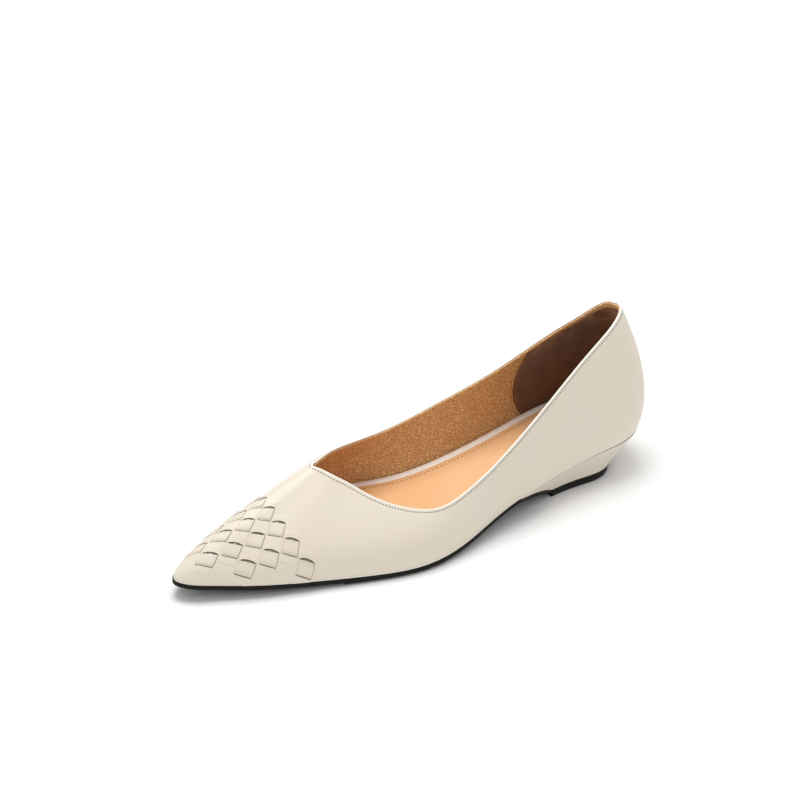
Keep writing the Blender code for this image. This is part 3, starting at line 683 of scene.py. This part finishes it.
def toe_chart(u, points):
    """Places on the toe unrolled: for each point its distance s from the toe along the
    middle rib, and q round the section at its y, positive to the outer side. q sums the
    steps between the points where neighbouring ribs cross that y, from the middle rib out,
    and below a rib's lowest y it runs on evenly with the length along the rib."""
    middle = len(u) // 2
    run = np.concatenate([[0], np.cumsum(np.linalg.norm(np.diff(points[middle], axis=0), axis=1))])
    levels = np.linspace(points[middle, 0, 1], points[middle, -1, 1], 260)
    crossed = np.full((len(u), len(levels), 3), np.nan)
    lowest = points[..., 1].argmin(axis=1)
    for k, (rib, low) in enumerate(zip(points, lowest)):
        for axis in range(3):
            crossed[k, :, axis] = np.interp(levels, rib[low:, 1], rib[low:, axis],
                                            left=np.nan, right=np.nan)
    steps = np.linalg.norm(np.diff(crossed, axis=0), axis=2)
    inner = np.cumsum(steps[middle:], axis=0)
    outer = np.cumsum(steps[:middle][::-1], axis=0)[::-1]
    q_levels = np.concatenate([outer, np.zeros((1, len(levels))), -inner])
    q = np.full(points.shape[:2], np.nan)
    along_rib = np.linalg.norm(np.diff(points, axis=1), axis=2).cumsum(axis=1)
    for k, (rib, low) in enumerate(zip(points, lowest)):
        q[k, low:] = np.interp(rib[low:, 1], levels, q_levels[k], left=np.nan, right=np.nan)
        known = np.flatnonzero(~np.isnan(q[k]))
        if len(known) > RUN_ON:
            first, later = known[0], known[RUN_ON]
            slope = (q[k, later] - q[k, first]) / (along_rib[k, later] - along_rib[k, first])
            q[k, :first] = q[k, first] + slope * (along_rib[k, :first] - along_rib[k, first])
    return np.interp(points[..., 1], points[middle, :, 1], run), q


def weave_place(file, rank):
    """Distances s and q of a place in the weave: a square law of file and rank, which on
    the inner side runs on in a straight line."""
    bent = np.maximum(file, STRAIGHT_FILE)
    return [WEAVE_MIDDLE[k] + RANK_STEP[k] * rank + RANK_TURN[k] * rank**2
            + FILE_STEP[k] * file + FILE_TURN[k] * bent * (2 * file - bent)
            for k in range(2)]


def file_and_rank(s, q):
    """The place in the weave of distances s and q, by Newton's steps on weave_place. Its
    slopes are each step plus twice its turn times the place."""
    file, rank = np.zeros_like(s), np.zeros_like(s)
    for _ in range(15):
        at_s, at_q = weave_place(file, rank)
        bent = np.maximum(file, STRAIGHT_FILE)
        s_file, q_file = (FILE_STEP[k] + 2 * FILE_TURN[k] * bent for k in range(2))
        s_rank, q_rank = (RANK_STEP[k] + 2 * RANK_TURN[k] * rank for k in range(2))
        spread = s_file * q_rank - s_rank * q_file
        file_step = ((s - at_s) * q_rank - (q - at_q) * s_rank) / spread
        rank_step = ((q - at_q) * s_file - (s - at_s) * q_file) / spread
        file = np.clip(file + file_step, *FILES_SOUGHT)
        rank = np.clip(rank + rank_step, *RANKS_SOUGHT)
    return file, rank


def strips_shown(column, row):
    """Whether a cell of the weave shows a strip: every second one, up to the last rank and
    in the patch that widens from the toe like a fan."""
    file, rank = (column + row) / 2, (column - row) / 2
    s, q = weave_place(file, rank)
    return (((column + row) % 2 == 0) & (s > WEAVE_FRONT) & (rank <= BACK_RANK)
            & (abs(q) < WEAVE_EDGE + WEAVE_FLARE * (s - WEAVE_FRONT)))


def weave(s, q):
    """Relief of the woven toe, its map, and whether a strip shows at a place, below the
    border between rows that lies nearest, and above it. Columns lie across the strips and
    rows along them, at whole numbers. Along a strip the rise is 1 - b^4, and it dips at its
    two slits, where b is -1 and 1. A cell beside them, where the strip runs beneath, is
    raised by the lip. Across a strip, where a is -1 and 1, all of it falls off steeply."""
    lost = np.isnan(q)
    file, rank = file_and_rank(s, np.where(lost, 0, q))
    across, along = file + rank, file - rank
    column, row = np.round(across), np.round(along)
    shown = strips_shown(column, row) & ~lost
    a, b = (across - column) * 2 / STRIP_WIDTH, (along - row) * 2 / STRIP_SHOW
    edge = 1 - ease((abs(a) - EDGE_START) / EDGE_FALL)
    strip = STRIP_RISE * np.clip(1 - b**4, 0, 1) * edge
    dip = -SLIT_DEPTH * ease((abs(b) - DIP_START) / DIP_FALL) * edge
    neighbour = strips_shown(column, row + np.where(b > 0, 1, -1)) & ~lost
    lip = LIP_RISE * edge * neighbour * ~shown
    relief = np.where(shown, strip + dip, 0) + lip
    chart = np.stack([np.where(lost, 0, across), np.where(lost, 0, along)], -1)
    border = np.floor(along)
    below, above = (strips_shown(column, row) & ~lost for row in (border + 1, border))
    return relief, chart, {"woven": shown, "slit_above": below, "slit_below": above}


def rolled_sheet(u, rows, back_rows, low, high, depth_top):
    """Loops round a sheet that follows the last between two depths below its outer face:
    up the outer side, over a half round at the top line, and down the inner side. The
    radius is half the sheet's thickness. depth_top is how far its top stays below v = 1.
    Gives the outer side, its normals, the rest of each loop, and the outer side's shares v."""
    radius = (high - low) / 2
    length = rib_length(u)[:, None]
    roll = 1 - (radius + depth_top) / length
    up = np.linspace(0, 1, rows)[None, :] * roll
    face, normal, _ = last_frame(u, up)
    outer = face - low * normal
    centre, normal_top, rise = last_frame(u, roll)
    turn = np.linspace(0, math.pi, 9)[1:-1][None, :, None]
    arc = (centre - (low + radius) * normal_top
           + radius * (np.cos(turn) * normal_top + np.sin(turn) * rise))
    down = np.linspace(1, 0, back_rows)[None, :] * roll
    face, normal_down, _ = last_frame(u, down)
    return outer, normal, np.concatenate([arc, face - high * normal_down], axis=1), up


def leather_wall(u):
    """Loops of the outer leather at places u round the foot, in the parts that rolled_sheet
    gives."""
    return rolled_sheet(u, 206, 18, 0.0, SKIN, 0.0)


def make_vamp():
    """Front of the upper: the outer leather, raised along its normals by the weave's relief."""
    from_middle = np.linspace(-VAMP_REACH, VAMP_REACH, 371)
    u = KNOTS[TOE] + from_middle
    outer, normal, rest, up = leather_wall(u)
    relief, chart, shares = weave(*toe_chart(u, outer))
    loops = np.concatenate([outer + relief[..., None] * normal, rest], axis=1)
    spare = rest.shape[1]
    chart = np.pad(chart, ((0, 0), (0, spare), (0, 0)))
    shares = {name: np.pad(share.astype(float), ((0, 0), (0, spare)))
              for name, share in shares.items()}
    shares["rolled"] = rolled_over(u, up, spare)
    piece = lofted("vamp", loops, vamp_leather(), "cream_leather", sharp=60,
                   maps={"weave": chart, "wall": wall_map(from_middle, up, spare)},
                   shares=shares)
    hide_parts("upper")


def wall_map(from_middle, up, spare):
    """Map of a wall: distance round the foot, and distance up the rib from the feather
    line. The points past the top line keep the height there."""
    height = up * rib_length(from_middle + KNOTS[TOE])[:, None]
    height = np.pad(height, ((0, 0), (0, spare)), mode="edge")
    return np.stack([np.broadcast_to(from_middle[:, None], height.shape), height], -1)


def rolled_over(u, up, spare):
    """Share of the painted highlight on the wall's rolled upper edge: one within
    ROLL of the top line, and past it."""
    depth = (1 - up) * rib_length(u)[:, None]
    return np.pad(1 - ease((depth - 0.6 * ROLL) / (0.8 * ROLL)), ((0, 0), (0, spare)),
                  constant_values=1)


def make_quarters():
    """Sides and back of the upper, from one end of the vamp round the heel to the other."""
    from_middle = np.linspace(VAMP_REACH, GIRTH - VAMP_REACH, 231)
    u = KNOTS[TOE] + from_middle
    outer, _, rest, up = leather_wall(u)
    spare = rest.shape[1]
    piece = lofted("quarters", np.concatenate([outer, rest], axis=1), quarter_leather(),
                   "cream_leather", sharp=60, maps={"wall": wall_map(from_middle, up, spare)},
                   shares={"rolled": rolled_over(u, up, spare)})
    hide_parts("upper")


def make_lining():
    """A closed sheet between the outer leather and the inner face of the wall."""
    u = np.linspace(0, GIRTH, 421)[:-1]
    outer, _, rest, _ = rolled_sheet(u, 12, 70, SKIN + 0.00002, WALL, LINING_EDGE)
    lofted("lining", np.concatenate([outer, rest], axis=1), lining_leather(), "tan_sock",
           closed=True)


def grip_edge(v):
    """Distance of the heel grip's front edge from the back: a parabola down the wall."""
    return GRIP_REACH - GRIP_CURVE * ((v - 0.55) / 0.45) ** 2


def make_heel_grip():
    """A sheet on the inside of the wall from edge to edge round the back: v runs up the
    wall, and the place round the foot is a share from -1 to 1 of the edge's distance."""
    v = np.linspace(0.03, 0.955, 60)
    share = np.linspace(-1, 1, 141)
    blunt = np.sqrt(np.clip(1 - np.clip((abs(share) - 0.985) / 0.015, 0, 1) ** 2, 0, 1))
    face = np.empty((len(share), len(v), 3))
    normal = np.empty_like(face)
    for k, height in enumerate(v):
        at, out, _ = last_frame(share * grip_edge(height), np.array([height]))
        face[:, k], normal[:, k] = at[:, 0], out[:, 0]
    top = np.sqrt(np.clip(1 - np.clip((v - 0.945) / 0.010, 0, 1) ** 2, 0, 1))
    thick = GRIP_THICKNESS * blunt[:, None] * top
    inner = face - (WALL + 0.00003 + thick)[..., None] * normal
    back = (face - (WALL - 0.0002) * normal)[:, ::-1]
    loops = np.concatenate([inner, back], axis=1)
    height = np.concatenate([np.broadcast_to(v, (len(share), len(v)))] * 2, axis=1)
    chart = np.stack([np.zeros_like(height), height], -1)
    lofted("heel_grip", loops, suede(), "tan_sock", maps={"wall": chart})


def bead(around, along):
    """A bead of unit half length on X and unit radius: rings whose radius is the fourth
    root of 1 - x^4, so that its sides run straight and its ends are round."""
    x = np.sin(np.linspace(-math.pi / 2, math.pi / 2, along + 2)[1:-1])
    angle = np.linspace(0, 2 * math.pi, around, endpoint=False)
    radius = (1 - x**4) ** 0.25
    rings = np.stack([np.broadcast_to(x[:, None], (along, around)),
                      radius[:, None] * np.cos(angle), radius[:, None] * np.sin(angle)], -1)
    points = np.concatenate([[[-1, 0, 0]], rings.reshape(-1, 3), [[1, 0, 0]]])
    quads = (grid_quads(along, around) + 1).tolist()
    ring = np.arange(around)
    end = len(points) - 1
    first = np.stack([np.zeros(around, int), np.roll(ring, -1) + 1, ring + 1], -1).tolist()
    last = np.stack([np.full(around, end), end - around + ring,
                     end - around + np.roll(ring, -1)], -1).tolist()
    return points, quads, first + last


def beads_along(name, path, normal, pitch, half, material, slot, start=0.0):
    """Beads set at equal distances along a path: each bead's points times its half length,
    half width and half height, turned to the path's run, its side and its normal."""
    gap = np.concatenate([[0], np.cumsum(np.linalg.norm(np.diff(path, axis=0), axis=1))])
    places = np.arange(start, gap[-1] - pitch / 2, pitch)
    at = np.stack([np.interp(places, gap, path[:, k]) for k in range(3)], -1)
    ahead = np.stack([np.interp(places + pitch / 4, gap, path[:, k]) for k in range(3)], -1)
    up = unit(np.stack([np.interp(places, gap, normal[:, k]) for k in range(3)], -1))
    run = ahead - at
    run = unit(run - (run * up).sum(1, keepdims=True) * up)
    side = np.cross(up, run)
    points, quads, triangles = bead(6, 4)
    turned = np.einsum("nk,mkj->mnj", points * half, np.stack([run, side, up], 1))
    count = len(points)
    offsets = (np.arange(len(at)) * count)[:, None, None]
    faces = ((np.array(quads)[None] + offsets).reshape(-1, 4).tolist()
             + (np.array(triangles)[None] + offsets).reshape(-1, 3).tolist())
    return new_piece(name, (at[:, None] + turned).reshape(-1, 3), faces, material, slot)


def make_top_stitches():
    """The row below the top line: pale threads with a dark needle hole between each two, the holes' dark
    beads being painted shade.
    """
    u = KNOTS[TOE] + np.linspace(0, GIRTH, 3001)
    down = 1 - TOP_ROW / rib_length(u)[:, None]
    face, normal, _ = last_frame(u, down)
    path, out = face[:, 0], normal[:, 0]
    pale = thread("pale thread", (0.74, 0.69, 0.60), (0.62, 0.58, 0.51))
    # dark beads: painted shade in the needle holes
    hole = thread("needle hole", (0.045, 0.047, 0.055), (0.025, 0.026, 0.032))
    beads_along("top_stitches", path + 0.00001 * out, out, TOP_PITCH, TOP_THREAD, pale,
                "cream_leather")
    beads_along("needle_holes", path - 0.00002 * out, out, TOP_PITCH, NEEDLE_HOLE, hole,
                "cream_leather", start=TOP_PITCH / 2)


def outline(inset):
    """The feather line moved inwards, as a closed ring in plan."""
    u = np.linspace(0, GIRTH, 1600, endpoint=False)
    feather, _, _, _, outward = rib_ends(u)
    return feather[:, :2] - inset * outward


def rails(ring, y):
    """Outer and inner x of a ring at places y."""
    ring = np.roll(ring, -ring[:, 1].argmax(), axis=0)
    front = ring[:, 1].argmin()
    outer_side, inner_side = ring[:front + 1][::-1], np.concatenate([ring[front:], ring[:1]])
    return (np.interp(y, outer_side[:, 1], outer_side[:, 0]),
            np.interp(y, inner_side[:, 1], inner_side[:, 0]))


def stations(ring, count, begin=None, end=None):
    """Places along Y from the ring's front to its back, or from begin, or to end. Towards
    a round end they crowd as a cosine does."""
    low, high = ring[:, 1].min() + 2e-6, ring[:, 1].max() - 2e-6
    t = np.linspace(0, 1, count)
    if begin is not None:
        return begin + (high - begin) * np.sin(t * math.pi / 2)
    if end is not None:
        return low + (end - low) * (1 - np.cos(t * math.pi / 2))
    return low + (high - low) * (1 - np.cos(t * math.pi)) / 2


def drawn_in(ring, y, back=True):
    """Places y moved evenly to run from the ring's front, and to its back if that is true."""
    low = ring[:, 1].min() + 2e-6
    high = ring[:, 1].max() - 2e-6 if back else y[-1]
    return low + (y - y[0]) * (high - low) / (y[-1] - y[0])


def level_of(ring, y, height):
    """Outer and inner rail of a ring as points at places y and their heights."""
    outer, inner = rails(ring, y)
    height = height + np.zeros_like(y)
    return np.stack([outer, y, height], 1), np.stack([inner, y, height], 1)


def loops_of(levels, across=36):
    """Loops round a slab, one for each station: over the lowest level from outer to inner
    rail, up the inner edge, back over the highest level and down the outer edge."""
    share = ((1 - np.cos(np.linspace(0, math.pi, across))) / 2)[None, :, None]
    low_outer, low_inner = levels[0]
    high_outer, high_inner = levels[-1]
    parts = [low_outer[:, None] * (1 - share) + low_inner[:, None] * share]
    parts += [inner[:, None] for _, inner in levels[1:-1]]
    parts.append(high_inner[:, None] * (1 - share) + high_outer[:, None] * share)
    parts += [outer[:, None] for outer, _ in levels[-2:0:-1]]
    return np.concatenate(parts, axis=1)


def insole_top(y):
    """Upper face of the insole board: thin at the toe, eased to its full thickness."""
    share = ease(y_to_along(y) / INSOLE_FULL)
    return feather_height(y) + INSOLE_TOE + (INSOLE_THICKNESS - INSOLE_TOE) * share


def edged_slab(inset, low, top, edge):
    """Levels of a slab: its lower ring at the height low, and then for each pair of the
    edge's profile a ring that stands in by the first and over the height top by the second."""
    base = outline(inset)
    y = stations(base, 180)
    levels = [level_of(base, y, low(y))]
    for inward, rise in edge:
        ring = outline(inset + inward)
        places = drawn_in(ring, y)
        levels.append(level_of(ring, places, top(places) + rise))
    return levels


def make_insole():
    """Wrapped insole board with a padded rim: over its half round the rim stands in by
    half its width times 1 - cos and up by its height times the root of sin."""
    angle = np.linspace(0, math.pi, 13)
    edge = zip(RIM_WIDTH / 2 * (1 - np.cos(angle)),
               RIM_HEIGHT * np.sqrt(np.clip(np.sin(angle), 0, 1)))
    levels = edged_slab(WALL + GAP, feather_height, insole_top, edge)
    piece = lofted("insole_edge", loops_of(levels), edge_leather(), "wrapped_edge", sharp=60)
    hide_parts("insole")


def sock_top(y):
    """Upper face of the sock, which lies half a gap over the insole board."""
    return insole_top(y) + SOCK_THICKNESS + GAP / 2


def make_sock():
    """The sock, whose upper edge is a quarter round, and its stitches, on a ring inside
    that edge from the back to the toe and from there to the back."""
    inset = WALL + GAP + RIM_WIDTH
    angle = np.linspace(0, math.pi / 2, 6)
    edge = zip(SOCK_ROUND * (1 - np.cos(angle)), -SOCK_ROUND * (1 - np.sin(angle)))
    levels = edged_slab(inset, lambda y: insole_top(y) + GAP / 3, sock_top, edge)
    piece = lofted("sock", loops_of(levels), sock_leather(), "tan_sock")
    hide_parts("sock_lining")

    ring = outline(inset + SOCK_ROW)
    ring = np.roll(ring, -ring[:, 1].argmax(), axis=0)
    path = np.column_stack([ring, sock_top(ring[:, 1])])
    along = y_to_along(ring[:, 1])
    toe = along.argmin()
    brown = thread("brown thread", (0.29, 0.125, 0.040), (0.17, 0.070, 0.022))
    for name, side in (("outer", slice(None, toe)), ("inner", slice(toe, None))):
        row = path[side][along[side] > 0.10]
        up = np.broadcast_to(np.array([0.0, 0.0, 1.0]), row.shape)
        beads_along(f"sock_stitches_{name}", row, up, SOCK_PITCH, SOCK_THREAD, brown, "tan_sock")


def make_grip_stitches():
    """Two rows beside each front edge of the heel grip, through the lining."""
    v = np.linspace(0.06, 0.94, 200)
    brown = thread("tan thread", (0.42, 0.20, 0.075), (0.23, 0.095, 0.033))
    for side in (-1, 1):
        for row, ahead in enumerate(GRIP_ROWS):
            u = side * (grip_edge(v) + ahead)
            face, normal, _ = last_frame(u, v[:, None])
            depth = WALL + (GRIP_THICKNESS if ahead < 0 else 0.0)
            path = face[:, 0] - depth * normal[:, 0]
            beads_along(f"grip_stitches_{'inner' if side < 0 else 'outer'}_{row}", path,
                        -normal[:, 0], GRIP_PITCH, GRIP_THREAD, brown, "tan_sock")


def heel_foot(y_seat):
    """Where the heel's underside lies for a place on the heel seat: y, and its taper."""
    front, seat_back, foot_back = along_to_y([HEEL_FRONT, 1.0, LIFT_BACK])
    y = front + (y_seat - front) / (seat_back - front) * (foot_back - front)
    taper = 1 + (HEEL_TAPER - 1) * ease((y - front) / (along_to_y(LIFT_FRONT) - front))
    return y, taper


def seat_of_foot(y_foot):
    """The place on the heel seat that lies over a place of the heel's underside."""
    front, seat_back, foot_back = along_to_y([HEEL_FRONT, 1.0, LIFT_BACK])
    return front + (y_foot - front) * (seat_back - front) / (foot_back - front)


def breast_height(y):
    """Underside of the wedge: high - (high - low) times a power of the share of the way."""
    front, lift = along_to_y(HEEL_FRONT), along_to_y(LIFT_FRONT)
    high = feather_height(np.array([front]))[0] - GAP - HEEL_TIP
    low = TOP_LIFT + GAP
    share = np.clip((y - front) / (lift - front), 0, 1)
    return low + (high - low) * (1 - share**BREAST_CURVE)


def heel_rails(y_seat, height=None, inset=0.0):
    """Rails of the heel's underside under the places y_seat of the heel seat."""
    outer, inner = rails(outline(0), y_seat)
    y, taper = heel_foot(y_seat)
    middle, half = (outer + inner) / 2, np.clip((outer - inner) / 2 * taper - inset, 1e-5, None)
    height = breast_height(y) if height is None else height + np.zeros_like(y)
    return np.stack([middle + half, y, height], 1), np.stack([middle - half, y, height], 1)


def seam_gap(y):
    """Height of the seam between the upper and the wedge, which opens towards the back."""
    share = ease((y_to_along(y) - 0.80) / 0.20)
    return GAP + SEAM_OPEN * share


def make_heel_seam():
    """Dark seat that fills the seam between upper and wedge, a little inside both: the board there, and
    painted shade in the seam.
    """
    ring = outline(SEAM_INSET)
    y = stations(ring, 90, begin=float(along_to_y(HEEL_FRONT)))
    close = GAP / 10
    levels = [level_of(ring, y, feather_height(y) - seam_gap(y) + close),
              level_of(ring, y, feather_height(y) - close)]
    lofted("heel_seam", loops_of(levels, 8), seam_board_and_shade(), "black_rubber")


def make_heel():
    """The covered wedge: each level lies between underside and heel seat at a share t, its
    half width drawn in by 4t(1 - t) of the waist, and at both ends by a quarter round."""
    ring = outline(0)
    y = stations(ring, 120, begin=float(along_to_y(HEEL_FRONT)))
    seat, foot = level_of(ring, y, feather_height(y) - seam_gap(y)), heel_rails(y)
    heights = np.concatenate([[0, 0.004, 0.015, 0.035], np.linspace(0.08, 0.92, 12),
                              [0.955, 0.98, 0.993, 1.0]])
    thick = seat[0][:, 2] - foot[0][:, 2]
    back = ease((y - y[0]) / (y[-1] - y[0]))
    levels = []
    for t in heights:
        pair = [foot[side] * (1 - t) + seat[side] * t for side in range(2)]
        middle = (pair[0] + pair[1]) / 2
        width = 1 + (HEEL_WAIST - 1) * 4 * t * (1 - t)
        from_end = np.clip(np.minimum(t, 1 - t) * thick / COVER_ROUND, 0, 1)
        tuck = COVER_TUCK * (1 - np.sqrt(np.clip(1 - (1 - from_end) ** 2, 0, 1)))
        for side in range(2):
            arm = pair[side][:, 0] - middle[:, 0]
            reach = np.maximum(abs(arm) * width - tuck, 1e-5)
            pair[side] = np.column_stack([middle[:, 0] + np.sign(arm) * reach,
                                          pair[side][:, 1] - tuck * back, pair[side][:, 2]])
        levels.append(pair)
    piece = lofted("heel_cover", loops_of(levels, 24), heel_leather(), "heel_leather", sharp=50)
    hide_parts("heel")


def make_top_piece():
    """Rubber top piece: straight sides that draw in a little towards the floor, with a
    fine step between its two layers."""
    ring = outline(0)
    y = stations(ring, 110, begin=float(seat_of_foot(along_to_y(LIFT_FRONT) + GAP)))
    levels = []
    back = (y - y[0]) / (y[-1] - y[0])
    for share, inset in ((0.0, 0.0004), (0.05, 0.0001), (0.68, 0.0), (0.72, 0.00022),
                         (0.76, 0.00022), (0.80, 0.0), (0.97, 0.0), (1.0, 0.0001)):
        drawn = LIFT_SLANT * (1 - share) + inset
        outer, inner = heel_rails(y, TOP_LIFT * share, drawn)
        outer[:, 1] -= drawn * back
        inner[:, 1] -= drawn * back
        levels.append((outer, inner))
    piece = lofted("top_piece", loops_of(levels, 16), sole_rubber("top piece rubber"),
                   "black_rubber", sharp=40)
    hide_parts("top_lift")


def sole_thickness(y):
    """Full under ball and toe, eased to the thin waist."""
    share = ease((y_to_along(y) - TREAD_BACK) / (WAIST - TREAD_BACK))
    return SOLE_THICKNESS + (WAIST_THICKNESS - SOLE_THICKNESS) * share


def make_sole():
    """Outsole: each level is a ring moved in or out at a share of the thickness, from the
    bevelled lower edge over the break and a fine line between two layers to the top."""
    ring = outline(-WELT)
    tip, lift = along_to_y([HEEL_FRONT, LIFT_FRONT])
    tread = along_to_y([TREAD_FRONT, TREAD_BACK])
    y = stations(ring, 240, end=float(tip) - 2 * GAP)
    under_heel = seat_of_foot(np.linspace(tip - GAP, lift - GAP, 30))
    heel_top = heel_rails(under_heel)
    top_height = feather_height(y) - GAP
    below = np.maximum(top_height - sole_thickness(y), 0)
    below[(y >= tread[0]) & (y <= tread[1])] = 0
    levels = []
    for share, offset in ((0.0, -SOLE_BEVEL), (0.10, -0.0006), (0.25, 0.0001), (0.40, WELT),
                          (0.60, WELT), (0.64, WELT - 0.00016), (0.68, WELT - 0.00016),
                          (0.72, WELT), (0.95, WELT), (1.0, WELT - 0.0001)):
        edge = outline(-offset)
        places = drawn_in(edge, y, back=False)
        level = level_of(edge, places, below + share * (top_height - below))
        down = GAP + (1 - share) * (WAIST_THICKNESS - GAP)
        levels.append([np.concatenate([level[side], heel_top[side] - (0, 0, down)])
                       for side in range(2)])
    piece = lofted("sole", loops_of(levels, 30), sole_rubber("outsole rubber"),
                   "black_rubber", sharp=40)
    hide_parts("outsole")


def soft_light(name, target, azimuth, elevation, distance, size, power):
    """A square soft box that looks at the target from an azimuth and elevation."""
    lamp = bpy.data.lights.new(name, "AREA")
    lamp.shape, lamp.size, lamp.energy = "SQUARE", size, power
    back = toward(azimuth, elevation)
    lamp_object = bpy.data.objects.new(name, lamp)
    lamp_object.matrix_world = looking(target + back * distance, back)
    bpy.context.scene.collection.objects.link(lamp_object)


def toward(azimuth, elevation):
    """Unit vector from the target to a camera: azimuth 0 stands at -Y, 90 at +X."""
    a, e = math.radians(azimuth), math.radians(elevation)
    return np.array([math.sin(a) * math.cos(e), -math.cos(a) * math.cos(e), math.sin(e)])


def looking(place, back):
    """Matrix of a camera or lamp at a place, with its back along the given direction."""
    right = unit(np.cross([0.0, 0.0, 1.0], back))
    up = np.cross(back, right)
    matrix = np.eye(4)
    matrix[:3, 0], matrix[:3, 1], matrix[:3, 2], matrix[:3, 3] = right, up, back, place
    return Matrix(matrix.tolist())


def make_stage():
    """Camera at the photograph's angle, a pale floor, white surroundings and soft light."""
    azimuth, elevation, distance = 56.2, 30.3, 1.5
    back = toward(azimuth, elevation)
    right = np.array([math.cos(math.radians(azimuth)), math.sin(math.radians(azimuth)), 0])
    target = right * -0.0054 + np.array([0, 0, 0.0643]) - SHIFT
    camera = bpy.data.cameras.new("camera")
    picture, focal_length = 800, 3260      # pixels
    camera.sensor_width = 36.0
    camera.lens = focal_length / picture * camera.sensor_width
    camera.clip_start, camera.clip_end = 0.05, 50
    camera_object = bpy.data.objects.new("camera", camera)
    camera_object.matrix_world = looking(target + back * distance, back)
    bpy.context.scene.collection.objects.link(camera_object)
    bpy.context.scene.camera = camera_object

    floor_paint = Paint("pale floor")
    clouds = floor_paint.noise(3.0, 2.0)
    floor_colour = floor_paint.mix(clouds, (0.93, 0.93, 0.93), (0.96, 0.96, 0.96))
    floor_paint.surface(Base_Color=floor_colour, Roughness=0.55)
    mesh = bpy.data.meshes.new("floor")
    mesh.from_pydata([(-6, -6, 0), (6, -6, 0), (6, 6, 0), (-6, 6, 0)], [], [(0, 1, 2, 3)])
    mesh.materials.append(floor_paint.material)
    floor = bpy.data.objects.new("floor", mesh)
    bpy.context.scene.collection.objects.link(floor)

    world = bpy.data.worlds.new("white surroundings")
    world.use_nodes = True
    sky = world.node_tree.nodes["Background"]
    sky.inputs["Color"].default_value = (1, 1, 1, 1)
    sky.inputs["Strength"].default_value = 0.62
    bpy.context.scene.world = world
    bpy.context.scene.view_settings.view_transform = "Standard"
    middle = np.array([0, 0, 0.03])
    soft_light("top box", middle, azimuth=-105, elevation=76, distance=1.3, size=0.8, power=12)
    soft_light("front box", middle, azimuth=60, elevation=48, distance=1.5, size=0.7, power=1.4)


make_stage()
make_vamp()
make_quarters()
make_lining()
make_heel_grip()
make_top_stitches()
make_insole()
make_sock()
make_grip_stitches()
make_heel()
make_heel_seam()
make_top_piece()
make_sole()
